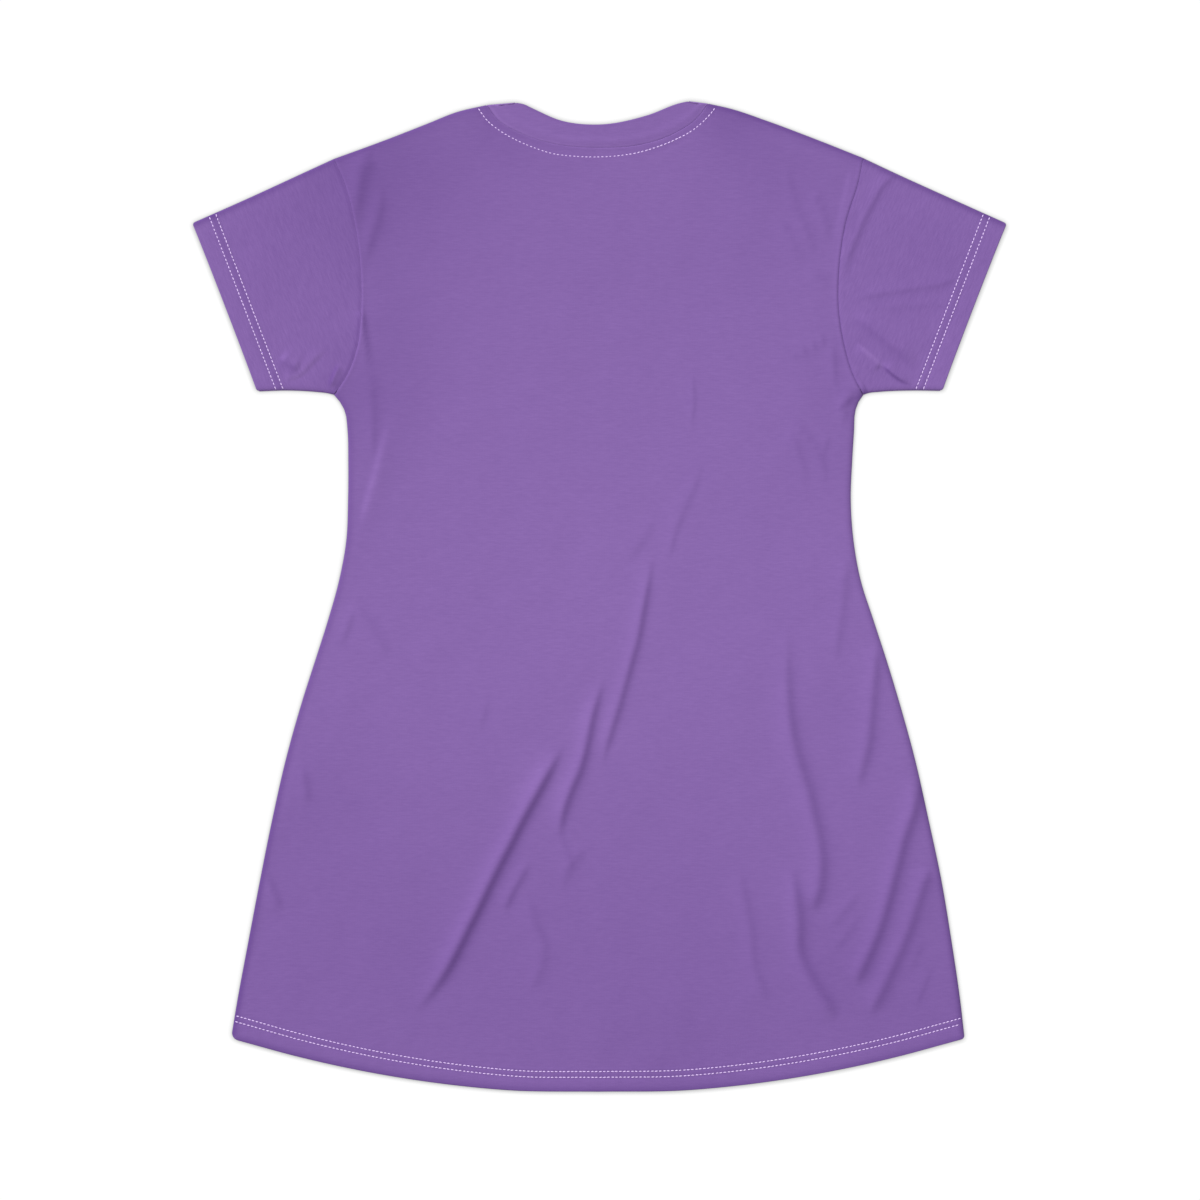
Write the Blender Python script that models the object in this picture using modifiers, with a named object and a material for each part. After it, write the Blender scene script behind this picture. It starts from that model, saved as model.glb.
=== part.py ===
"""T-shirt dress laid flat on its front: back panel, front panel, two sleeves and a neckband.

Each piece is a wall of cloth. The front panel, the lower halves of the sleeves and the front of the
neckband rest on the plane z = 0; the back panel and the upper halves lie on them. X runs across the
dress, Y from the hem to the neck and Z up. Sizes in the tables are in millimetres.
"""

from collections import namedtuple

import bpy
import numpy as np

MM = 0.001
NAME = "tshirt_dress"

WALL = 1.2
SEAM_GAP = 0.3
LOWER_FACE = WALL + SEAM_GAP  # height of the upper layer's inner face
HALF_GAP = SEAM_GAP / 2
FOLD_INSET = WALL + HALF_GAP  # from a folded edge to the start of its bend
WELD_DISTANCE = 0.001

CLOTH_COLOUR = (0.245, 0.135, 0.405)
CLOTH_ROUGHNESS = 0.85

# Steps of each grid
BACK_SHOULDER_STEPS = 14
BACK_SIDE_STEPS = 38
FRONT_SHOULDER_STEPS = 8
FRONT_SIDE_STEPS = 28
ARMHOLE_STEPS = 14
NECK_STEPS = 24
SLEEVE_STEPS = 10
BAND_STEPS = 3
BEND_STEPS = 3
SPAN_SAMPLES = 40  # for each listed point of a smooth curve
UNDERARM_CLOSENESS = 1.35  # above 1 the rows crowd together towards the underarm

# Half of the hem: distance from the middle, rise above the lowest point
HEM_LOW = -455.4
Hem = namedtuple("Hem", "out rise")
HEM = (
    Hem(0.0, 0.0),
    Hem(80.0, 1.2),
    Hem(131.7, 5.9),
    Hem(195.0, 15.1),
    Hem(242.0, 24.3),
    Hem(281.0, 33.5),
    Hem(316.0, 43.0),
    Hem(337.4, 48.9),
)

# Side seams from hem to underarm: height, distance of each seam from the middle
Side = namedtuple("Side", "up left right")
SIDES = (
    Side(-406.5, 337.4, 337.4),
    Side(-371.2, 333.0, 331.8),
    Side(-316.0, 322.7, 323.7),
    Side(-260.8, 312.2, 314.5),
    Side(-205.6, 301.1, 302.8),
    Side(-150.4, 288.6, 290.4),
    Side(-95.2, 273.1, 275.2),
    Side(-58.4, 261.3, 264.0),
    Side(-21.6, 249.6, 252.0),
    Side(15.2, 239.4, 240.2),
    Side(52.0, 232.8, 233.6),
    Side(88.8, 231.2, 231.1),
    Side(125.6, 231.0, 232.5),
    Side(153.2, 231.7, 234.2),
    Side(171.6, 234.5, 235.5),
    Side(179.9, 238.6, 238.2),
    Side(187.2, 241.5, 242.4),
)

# Armhole seams from underarm to shoulder: height, distance of each seam from the middle
ARMHOLES = (
    Side(187.2, 241.5, 242.4),
    Side(202.0, 233.2, 234.1),
    Side(232.3, 222.2, 224.9),
    Side(262.7, 219.3, 220.2),
    Side(303.1, 219.9, 220.6),
    Side(343.6, 225.3, 226.6),
    Side(384.1, 236.0, 238.9),
    Side(402.5, 244.3, 242.4),
)
FRONT_ARMHOLE_SCOOP = 7.0  # the front armhole is cut this much further in at its middle

# Shoulder edges from armhole to neck
LEFT_SHOULDER = ((-244.3, 402.5), (-196.4, 420.0), (-158.8, 434.7), (-130.2, 445.7), (-103.5, 450.8))
RIGHT_SHOULDER = ((242.4, 403.4), (200.5, 420.0), (154.0, 437.5), (119.9, 448.5), (99.8, 452.2))

# Neck seams and the free edges of the neckband, from the left to the right
BACK_NECK_SEAM = (
    (-103.5, 450.8),
    (-94.3, 439.5),
    (-68.5, 424.6),
    (-33.6, 416.6),
    (-1.0, 415.5),
    (34.5, 417.2),
    (65.8, 425.0),
    (91.0, 440.8),
    (99.8, 452.2),
)
BACK_NECK_EDGE = (
    (-77.7, 453.6),
    (-64.9, 448.5),
    (-33.6, 436.8),
    (-1.0, 433.8),
    (43.7, 441.6),
    (74.1, 452.6),
    (82.3, 454.8),
)
FRONT_NECK_DEPTH = 87.0  # below the shoulder points, to the free edge
SCOOP_ROUNDNESS = 0.8  # below 1 the front neck has a flatter bottom than an ellipse
BAND_WIDTH = 18.0
BAND_BEND_SHARE = 0.008  # share of each arc that the bend at the shoulder takes up

# Sleeves: fold along the top, hem, and seam along the underarm
LEFT, RIGHT = -1, 1
SLEEVE_TOPS = {
    LEFT: ((-244.3, 402.5), (-266.3, 392.4), (-326.3, 364.8), (-374.2, 343.6)),
    RIGHT: ((242.4, 403.4), (265.6, 392.4), (326.3, 364.8), (374.4, 343.2)),
}
SLEEVE_UNDERARMS = {
    LEFT: ((-241.5, 187.2), (-259.9, 188.6), (-286.6, 189.5), (-314.6, 188.6)),
    RIGHT: ((242.4, 187.2), (258.1, 188.3), (287.5, 189.5), (315.1, 189.1)),
}

# Creases in the upper layer: three points of the crest, its height, and the width of each slope
Crease = namedtuple("Crease", "start middle end height left right")
CREASES = (
    Crease((-43.7, -140.0), (-124.7, -286.6), (-182.0, -382.0), 3.6, 17.0, 8.0),
    Crease((-4.0, -84.0), (-17.9, -146.0), (-46.0, -224.0), 2.4, 11.0, 8.0),
    Crease((42.8, 34.0), (31.7, -34.0), (2.0, -130.0), 2.4, 15.0, 8.0),
    Crease((164.2, -12.0), (195.5, -208.4), (188.0, -304.0), 2.6, 15.0, 8.0),
    Crease((170.6, -240.0), (178.9, -318.0), (212.0, -386.0), 2.2, 12.0, 8.0),
    Crease((288.0, -176.0), (259.9, -279.2), (224.0, -362.0), 2.2, 12.0, 8.0),
    Crease((298.0, -236.0), (278.3, -302.2), (240.0, -384.0), 1.8, 9.0, 8.0),
    Crease((98.0, 128.0), (86.0, 80.0), (64.0, 30.0), 1.0, 12.0, 8.0),
    Crease((262.0, 384.0), (246.0, 336.0), (228.0, 286.0), 1.4, 12.0, 10.0),
    Crease((240.0, 236.0), (258.0, 218.0), (280.0, 200.0), 1.4, 9.0, 9.0),
    Crease((-240.0, 206.0), (-247.0, 222.0), (-244.0, 240.0), 1.2, 9.0, 9.0),
)
CREST_SAMPLES = 60
CREST_TAPER = 0.7  # below 1 the crest keeps its height nearer to its ends


def even(count):
    """Shares 0 to 1 in equal steps."""
    return np.linspace(0.0, 1.0, count + 1)


def smooth(points, shares):
    """Points at the given shares of the length of a smooth curve through the listed ones."""
    knots = np.array(points, float)
    reach = np.concatenate([[0.0], np.cumsum(np.linalg.norm(np.diff(knots, axis=0), axis=1))])
    slopes = np.gradient(knots, reach, axis=0)
    at = np.linspace(0.0, reach[-1], SPAN_SAMPLES * len(knots))
    span = np.clip(np.searchsorted(reach, at, side="right") - 1, 0, len(knots) - 2)
    step = (reach[span + 1] - reach[span])[:, None]
    t = (at - reach[span])[:, None] / step
    fine = (
        (2 * t**3 - 3 * t**2 + 1) * knots[span]
        + (t**3 - 2 * t**2 + t) * step * slopes[span]
        + (3 * t**2 - 2 * t**3) * knots[span + 1]
        + (t**3 - t**2) * step * slopes[span + 1]
    )
    length = np.concatenate([[0.0], np.cumsum(np.linalg.norm(np.diff(fine, axis=0), axis=1))])
    wanted = np.asarray(shares) * length[-1]
    return np.stack([np.interp(wanted, length, fine[:, axis]) for axis in range(2)], axis=1)


def shares_along(curve):
    """Share of the curve's length at each of its points."""
    length = np.concatenate([[0.0], np.cumsum(np.linalg.norm(np.diff(curve, axis=0), axis=1))])
    return length / length[-1]


def patch(start, end, first, last):
    """Grid of points between four edge curves, blended from both pairs less their corners.

    start and end are the first and last rows, first and last the first and last columns.
    """
    along = shares_along(start)[None, :, None]
    across = shares_along(first)[:, None, None]
    corners = (
        (1 - along) * ((1 - across) * start[0] + across * end[0])
        + along * ((1 - across) * start[-1] + across * end[-1])
    )
    rows = (1 - across) * start[None] + across * end[None]
    columns = (1 - along) * first[:, None] + along * last[:, None]
    return rows + columns - corners


def seam_line(rows, side, scoop, shares):
    """A side seam or armhole, from its lower end, hollowed inwards by scoop."""
    out = [(side * (row.left if side == LEFT else row.right), row.up) for row in rows]
    line = smooth(out, shares)
    line[:, 0] -= side * scoop * np.sin(np.pi * np.asarray(shares))
    return line


def moved(curve, distance):
    """The curve moved to its left by a distance."""
    heading = np.gradient(curve, axis=0)
    heading /= np.linalg.norm(heading, axis=1)[:, None]
    return curve + distance * np.stack([-heading[:, 1], heading[:, 0]], axis=1)


def neck_seam(front, shares):
    """The seam of the neckband, at the back or at the front."""
    points = front_neck(FRONT_NECK_DEPTH + BAND_WIDTH, BACK_NECK_SEAM) if front else BACK_NECK_SEAM
    return smooth(points, shares)


def neck_edge(front, shares):
    """The free edge of the neckband, at the back or at the front."""
    points = front_neck(FRONT_NECK_DEPTH, BACK_NECK_EDGE) if front else BACK_NECK_EDGE
    return smooth(points, shares)


def front_neck(depth, back):
    """A scoop between the ends of the back curve: half of a rounded rectangle, from left to right."""
    left, right = np.array(back[0]), np.array(back[-1])
    turn = np.linspace(0.0, np.pi, 2 * NECK_STEPS + 1)
    share = (1 - np.sign(np.cos(turn)) * np.abs(np.cos(turn)) ** SCOOP_ROUNDNESS) / 2
    drop = depth * np.sin(turn) ** SCOOP_ROUNDNESS
    return left + share[:, None] * (right - left) - np.stack([np.zeros_like(drop), drop], axis=1)


def panel_outline(front, shoulder_steps, side_steps):
    """The four edges of a body panel: hem, top, left and right, each from its lower or left end."""
    scoop = FRONT_ARMHOLE_SCOOP if front else 0.0
    half = [(row.out, HEM_LOW + row.rise) for row in HEM]
    hem_points = [(-out, up) for out, up in reversed(half[1:])] + half
    up_side = 1 - (1 - even(side_steps)) ** UNDERARM_CLOSENESS
    edges = {}
    for side in (LEFT, RIGHT):
        seam = seam_line(SIDES, side, 0.0, up_side)
        armhole = seam_line(ARMHOLES, side, scoop, even(ARMHOLE_STEPS))
        armhole[:, 0] -= side * HALF_GAP
        edges[side] = np.concatenate([seam[:-1], armhole])
    neck = moved(neck_seam(front, even(NECK_STEPS)), -HALF_GAP)
    left_shoulder = smooth(LEFT_SHOULDER, even(shoulder_steps))
    right_shoulder = smooth(RIGHT_SHOULDER, even(shoulder_steps))
    top = np.concatenate([left_shoulder[:-1], neck, right_shoulder[::-1][1:]])
    top[0], top[-1] = edges[LEFT][-1], edges[RIGHT][-1]
    hem = smooth(hem_points, shares_along(top))
    return hem, top, edges[LEFT], edges[RIGHT]


def lift(x, y):
    """Height that the creases add to the upper layer at each point."""
    height = np.zeros_like(x)
    t = np.linspace(0.0, 1.0, CREST_SAMPLES)[:, None]
    for crease in CREASES:
        start, middle, end = (np.array(p) for p in (crease.start, crease.middle, crease.end))
        pull = 2 * middle - (start + end) / 2
        crest = (1 - t) ** 2 * start + 2 * t * (1 - t) * pull + t**2 * end
        heading = np.gradient(crest, axis=0)
        away = np.stack([x, y], axis=-1)[..., None, :] - crest
        distance = np.linalg.norm(away, axis=-1)
        nearest = distance.argmin(axis=-1)
        off = np.take_along_axis(away, nearest[..., None, None], axis=-2)[..., 0, :]
        turn = heading[nearest][..., 0] * off[..., 1] - heading[nearest][..., 1] * off[..., 0]
        leftwards = turn * np.sign(heading[nearest][..., 1]) > 0
        width = np.where(leftwards, crease.left, crease.right)
        along = np.sin(np.pi * t[nearest, 0]) ** CREST_TAPER
        height += crease.height * along * np.exp(-((distance.min(axis=-1) / width) ** 2))
    return height


def cloth_material(name):
    material = bpy.data.materials.new(name)
    material.use_nodes = True
    shader = material.node_tree.nodes["Principled BSDF"]
    shader.inputs["Base Color"].default_value = (*CLOTH_COLOUR, 1.0)
    shader.inputs["Roughness"].default_value = CLOTH_ROUGHNESS
    shader.inputs["Metallic"].default_value = 0.0
    return material


def cloth_object(name, data, collection):
    """An object in the collection, with a cloth material of its own."""
    data.materials.append(cloth_material(name))
    piece = bpy.data.objects.new(name, data)
    collection.objects.link(piece)
    return piece


def grid_faces(rows, columns, loop_rows=False):
    """Quads between the points of a grid; loop_rows joins the last row to the first."""
    row = np.arange(rows if loop_rows else rows - 1)[:, None]
    column = np.arange(columns - 1)[None, :]
    next_row = (row + 1) % rows
    corners = [row * columns + column, row * columns + column + 1]
    corners += [next_row * columns + column + 1, next_row * columns + column]
    return np.stack(corners, axis=-1).reshape(-1, 4)


def at_height(grid, height):
    """The flat grid with a height for each point."""
    return np.concatenate([grid, (np.zeros(grid.shape[:2]) + height)[..., None]], axis=-1)


def smooth_mesh(name, points, faces):
    mesh = bpy.data.meshes.new(name)
    mesh.from_pydata((points.reshape(-1, 3) * MM).tolist(), [], faces.tolist())
    mesh.shade_smooth()
    return mesh


def back_panel(collection):
    """The panel's inner face, raised by the creases, given the wall's thickness upwards."""
    grid = patch(*panel_outline(False, BACK_SHOULDER_STEPS, BACK_SIDE_STEPS))
    inner = at_height(grid, LOWER_FACE + lift(grid[..., 0], grid[..., 1]))
    mesh = smooth_mesh("back_panel", inner, grid_faces(*grid.shape[:2]))
    thickness = cloth_object("back_panel", mesh, collection).modifiers.new("thickness", "SOLIDIFY")
    thickness.thickness = WALL * MM
    thickness.offset = 1.0
    thickness.use_even_offset = True


def front_panel(collection):
    """A flat plate of the panel's outline, which rests on the floor."""
    hem, top, left, right = panel_outline(True, FRONT_SHOULDER_STEPS, FRONT_SIDE_STEPS)
    outline = np.concatenate([hem[:-1], right[:-1], top[::-1][:-1], left[::-1][:-1]]) * MM
    curve = bpy.data.curves.new("front_panel", "CURVE")
    curve.dimensions = "2D"
    curve.fill_mode = "BOTH"
    curve.extrude = WALL * MM / 2
    spline = curve.splines.new("POLY")
    spline.points.add(len(outline) - 1)
    for point, (x, y) in zip(spline.points, outline):
        point.co = (x, y, 0.0, 1.0)
    spline.use_cyclic_u = True
    cloth_object("front_panel", curve, collection).location.z = WALL * MM / 2


def bent(start, end, reach, turn):
    """The line a turn of the way round the bend from start to end, which reaches outwards."""
    middle, spoke = (start + end) / 2, (start - end) / 2
    return middle + spoke * np.cos(turn) + reach * np.sin(turn)


def ring(upper, lower, outward_first, outward_last, growth):
    """Rows once round a flattened tube, grown outwards from the gap between its layers.

    upper and lower are the layers' inner faces; their rows run from the first folded edge to the
    last. A bend is a half circle in the direction outward_first or outward_last.
    """
    turns = np.pi * np.arange(1, BEND_STEPS) / BEND_STEPS
    upper, lower = upper + [0.0, 0.0, growth], lower - [0.0, 0.0, growth]
    last, first = (HALF_GAP + growth) * outward_last, (HALF_GAP + growth) * outward_first
    rows = list(upper)
    rows += [bent(upper[-1], lower[-1], last, turn) for turn in turns]
    rows += list(lower[::-1])
    rows += [bent(lower[0], upper[0], first, turn) for turn in turns]
    return np.stack(rows)


def flattened_tube(name, upper, lower, outward_first, outward_last, collection):
    """A tube of cloth pressed flat: an outer and an inner ring joined by a rim at each open end."""
    outer = ring(upper, lower, outward_first, outward_last, WALL)
    inner = ring(upper, lower, outward_first, outward_last, 0.0)[:, ::-1]
    around = np.concatenate([outer, inner, outer[:, :1]], axis=1)
    rows, columns = around.shape[:2]
    faces = grid_faces(rows, columns, loop_rows=True)
    mesh = smooth_mesh(name, around, faces)
    weld = cloth_object(name, mesh, collection).modifiers.new("weld", "WELD")
    weld.merge_threshold = WELD_DISTANCE * MM


def sleeve(name, side, collection):
    """A flattened tube from the armhole to the sleeve hem, folded along its top edge."""
    top = smooth(SLEEVE_TOPS[side], even(SLEEVE_STEPS))
    under = smooth(SLEEVE_UNDERARMS[side], even(SLEEVE_STEPS))
    hem = top[-1] + even(ARMHOLE_STEPS)[:, None] * (under[-1] - top[-1])
    layers = []
    for scoop in (0.0, FRONT_ARMHOLE_SCOOP):
        armhole = seam_line(ARMHOLES, side, scoop, even(ARMHOLE_STEPS))[::-1]
        armhole[:, 0] += side * HALF_GAP
        grid = patch(top, under, armhole, hem)
        across = grid[-1] - grid[0]
        across /= np.linalg.norm(across, axis=1)[:, None]
        squeeze = FOLD_INSET * (1 - 2 * even(ARMHOLE_STEPS))
        layers.append(grid + squeeze[:, None, None] * across[None])
    upper = at_height(layers[0], LOWER_FACE + lift(layers[0][..., 0], layers[0][..., 1]))
    lower = at_height(layers[1], WALL)
    down = np.concatenate([across, np.zeros((len(across), 1))], axis=1)
    if side == RIGHT:
        upper, lower, down = upper[:, ::-1], lower[:, ::-1], down[::-1]
    flattened_tube(name, upper, lower, -down, down, collection)


def neckband(collection):
    """A ring of folded cloth: the back arc above, the front arc below, turned over at the shoulders."""
    layers = []
    for front, height in ((False, LOWER_FACE), (True, WALL)):
        shares = even(NECK_STEPS)
        shares[0] = BAND_BEND_SHARE
        shares[-1] = 1 - BAND_BEND_SHARE
        seam, edge = moved(neck_seam(front, shares), HALF_GAP), neck_edge(front, even(NECK_STEPS))
        edge[[0, -1], 1] -= FOLD_INSET
        width = even(BAND_STEPS)[None, :, None]
        layers.append(at_height((1 - width) * edge[:, None] + width * seam[:, None], height))
    upwards = np.array([0.0, 1.0, 0.0])
    flattened_tube("neckband", *layers, upwards, upwards, collection)


def main():
    for leftover in list(bpy.data.objects):
        bpy.data.objects.remove(leftover, do_unlink=True)
    collection = bpy.data.collections.new(NAME)
    bpy.context.scene.collection.children.link(collection)
    front_panel(collection)
    back_panel(collection)
    sleeve("sleeve_left", LEFT, collection)
    sleeve("sleeve_right", RIGHT, collection)
    neckband(collection)


main()
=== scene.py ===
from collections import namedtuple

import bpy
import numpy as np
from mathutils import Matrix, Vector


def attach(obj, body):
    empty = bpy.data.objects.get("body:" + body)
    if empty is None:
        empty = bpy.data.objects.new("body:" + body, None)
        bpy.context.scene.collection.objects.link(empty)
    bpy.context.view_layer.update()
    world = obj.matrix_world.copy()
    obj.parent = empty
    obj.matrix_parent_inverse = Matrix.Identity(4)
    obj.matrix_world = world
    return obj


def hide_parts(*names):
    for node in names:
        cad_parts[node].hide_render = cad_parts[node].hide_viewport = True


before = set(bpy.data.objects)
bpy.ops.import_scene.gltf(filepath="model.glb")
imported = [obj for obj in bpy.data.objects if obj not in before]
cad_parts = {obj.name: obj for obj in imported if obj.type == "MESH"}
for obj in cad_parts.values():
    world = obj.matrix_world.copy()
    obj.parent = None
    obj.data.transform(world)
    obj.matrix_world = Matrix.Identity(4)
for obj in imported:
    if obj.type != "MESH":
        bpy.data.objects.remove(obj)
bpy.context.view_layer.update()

# Looks of the t-shirt dress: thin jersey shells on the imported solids, with creases, turned hems,
# seams and stitching. The dress lies face down on the floor, z = 0, with its back up. X runs across
# it, Y from the hem to the neck and Z up. Tables and functions are in millimetres; a mesh is made
# in metres.

MM = 0.001
LEFT, RIGHT = -1, 1
AT_ONCE = 12000  # points measured at once against a route


def table(columns, *rows):
    """Rows whose values are called by the names of their columns."""
    row = namedtuple("Row", columns)
    return tuple(row(*values) for values in rows)


# ---------------------------------------------------------------- sizes

CLOTH = 0.6  # thickness of one layer of jersey
UPPER_MIDDLE = 2.5  # height of the middle of the upper layer, away from the edges
RIM_MIDDLE = 0.95  # and where it is sewn to the lower layer
LOWER_RIM_MIDDLE = 0.55
EDGE_ROUND = 0.6  # depth of the cloth's own round edge as a share of its thickness
RIM_ROUND = 4.5  # width of the round edge along the sewn rims
LOWER_ROUND = 2.5
FOLD_HEIGHT = 0.9  # height of the outermost line of a sleeve's folds
FOLD_ROUND = 1.2
SEAM_HALF_GAP = 0.03
CORNER_RADIUS = 2.2  # of the corners at the cuffs
CUFF_BULGE, ARMHOLE_BULGE = 0.5, 0.12  # how far the round rims of a sleeve's cloth stand out
CUFF_BOW = {LEFT: 0.8, RIGHT: 1.0}  # the cuffs are this much hollow between their corners
HEM_CORNERS = {LEFT: 6.5, RIGHT: 3.0}

DITCH = 0.3  # depth of the groove that a stitch line pulls into the cloth
DITCH_WIDTH = 1.3
LOWER_DITCH = 0.42  # and on the underside, where it keeps the thread off the floor
HEM_DEPTH = 21.0  # width of the turned hem
PUCKER = 0.07  # how much it waves between its edge and its stitches
PUCKER_MIDDLE, PUCKER_WIDTH = 14.0, 9.0
HEM_STITCHES = (13.8, 19.1)  # distances of the two stitch lines from the hem
HEM_STITCH_DRIFT = ((-340, -200, -60, 60, 200), (1.9, 0.7, -0.8, -0.4, 0.2))  # across, added to the rows
CUFF_DEPTH = 25.0
CUFF_STITCHES = (16.5, 22.9)
CUFF_ROWS_MIDDLE, CUFF_ROWS_WIDTH = 19.7, 2.4
NECK_STITCH_OFFSET = 11.2  # from the neck seam to the stitch line on the front

STITCH_MARGIN = 0.9  # from the end of a stitch line to the fold or side seam
STITCH_PITCH = 3.68
STITCH_LENGTH = 2.75
STITCH_WIDTH = 1.05
STITCH_HEIGHT = 0.5
STITCH_WANDER = 0.05 * STITCH_PITCH  # along the row
STITCH_SINK = 0.16  # how much deeper a stitch's ends lie than its middle
STITCH_FLOOR_GAP = 0.03  # from the floor to the stitches of the front
STITCH_PROUD = 0.22  # and from the ditch up to their middle on the back

# Half of the hem: distance from the middle, rise above the lowest point
HEM_LOW = -455.4
HEM = table(
    "out rise",
    (0, 0), (80, 1.2), (131.7, 5.9), (195, 15.1), (242, 24.3), (281, 33.5), (316, 43), (337.4, 48.9),
)

# Side seams from hem to underarm: height, distance of each seam from the middle
SIDES = table(
    "up left right",
    (-406.5, 338.9, 335.9), (-371.2, 333, 331.8), (-316, 322.7, 323.7), (-260.8, 312.2, 314.5),
    (-205.6, 301.1, 302.8), (-150.4, 288.6, 290.4), (-95.2, 273.1, 275.2), (-58.4, 261.3, 264),
    (-21.6, 249.6, 252), (15.2, 239.4, 240.2), (52, 232.8, 233.6), (88.8, 231.2, 231.1),
    (125.6, 231, 232.5), (153.2, 231.7, 234.2), (171.6, 234.5, 235.5), (179.3, 238.8, 238.4),
    (185.6, 244.4, 242.8),
)

# Armhole seams from underarm to shoulder: height, distance of each seam from the middle
ARMHOLES = table(
    "up left right",
    (185.6, 244.4, 242.8), (202, 233.2, 234.1), (232.3, 222.2, 224.9), (262.7, 219.3, 220.2),
    (303.1, 219.9, 220.6), (343.6, 225.3, 226.6), (384.1, 236, 238.9), (402.5, 244.3, 242.4),
)
FRONT_ARMHOLE_SCOOP = 7.0  # the front armhole is cut this much further in at its middle

# Shoulder edges from armhole to neck
LEFT_SHOULDER = ((-244.3, 402.5), (-196.4, 420.0), (-158.8, 434.7), (-130.2, 445.9), (-103.5, 452.1))
RIGHT_SHOULDER = ((242.4, 403.4), (200.5, 420.0), (154.0, 437.5), (119.9, 448.9), (99.8, 453.4))

# Neck seams and the free edges of the neckband, from the left to the right
BACK_NECK_SEAM = (
    (-103.5, 452.1), (-94.3, 439.5), (-68.5, 424.4), (-33.6, 414.8), (-1, 412.8), (34.5, 414.9),
    (65.8, 424.4), (91, 441.2), (99.8, 453.4),
)
BACK_NECK_EDGE = (
    (-77.7, 454.3), (-69.5, 452.7), (-62, 449.2), (-33.6, 437.3), (-1, 434.1), (43.7, 442.5), (74.1, 453.8),
    (82.3, 455.6),
)
FRONT_NECK_DEPTH = 87.0  # below the shoulder points, to the free edge
SCOOP_ROUNDNESS = 0.8  # below 1 the front neck has a flatter bottom than an ellipse
SCOOP_SAMPLES = 48
BAND_WIDTH = 18.0
BAND_THICK = 1.5
BAND_FOLD_ROUND = 1.1
BAND_UPPER_MIDDLE = 2.15
BAND_LOWER_MIDDLE = 0.75
BAND_SWELL = 0.19  # the band swells by this much just above its seam
SWELL_MIDDLE, SWELL_WIDTH = 5.4, 2.4
TUCKED_UNDER = 1.0  # how far the band's seam edge runs under the back's neck edge
TUCKED_DOWN = 0.65
# Depth of the band's colour as a whole, and its painted shade at the rolled fold and painted highlights on
# its swell and near its seam, at distances from its seam
BAND_TONE = 0.945
BAND_SHADING = table("change away width", (-0.17, BAND_WIDTH, 1.4), (0.05, 6.5, 2.2), (0.11, 1.2, 0.9))
# Painted highlight at the band's seam
BAND_SEAM_HIGHLIGHT = (0.07, 0.04)  # and at its seam, on the left and on the right

# Stitch line below the back neck seam, from shoulder to shoulder
BACK_NECK_STITCHES = (
    (-111.5, 449), (-103, 437.5), (-91, 428), (-77, 420), (-59, 412.3), (-43, 407.3), (-25, 405),
    (-5, 404.2), (16, 405.2), (34.5, 408), (52, 413), (69.5, 420), (83.3, 427.2), (95.2, 436.5),
    (101.7, 443.3), (106.5, 449.5),
)

# Sleeves: fold along the top, hem, and seam along the underarm
SLEEVE_TOPS = {
    LEFT: ((-244.3, 402.5), (-266.3, 392.4), (-326.3, 364.8), (-374.2, 343.6)),
    RIGHT: ((242.4, 403.4), (265.6, 392.4), (326.3, 364.8), (374.4, 343.2)),
}
SLEEVE_UNDERARMS = {
    LEFT: ((-244.4, 185.6), (-249.6, 186.9), (-259.9, 188.1), (-286.6, 189.5), (-314.6, 188.6)),
    RIGHT: ((242.8, 185.6), (247.4, 187.1), (258.1, 188.3), (287.5, 189.5), (315.1, 189.1)),
}

# Lengths to which the insets of a grid's lines are set out, and its even steps between them
SLEEVE_ACROSS, SLEEVE_ALONG = 215.0, 110.0
SLEEVE_STEPS = (126, 60)
BODY_LENGTH, BODY_WIDTH = 865.0, 560.0
FRONT_STEPS = 110
SKIRT_LENGTH = 500.0  # the back has finer rows up to here
SKIRT_STEPS, CHEST_STEPS, BACK_STEPS = 118, 52, 232
BLEND_FROM, BLEND_OVER = 0.25, 0.6  # share of the body where its columns turn towards the top edge's points
BAND_STEPS = 10
BAND_SAMPLES = {False: 120, True: 150}  # round the back and the front of the neck
BAND_TURNS = 9  # lines across each end where it turns over

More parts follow.
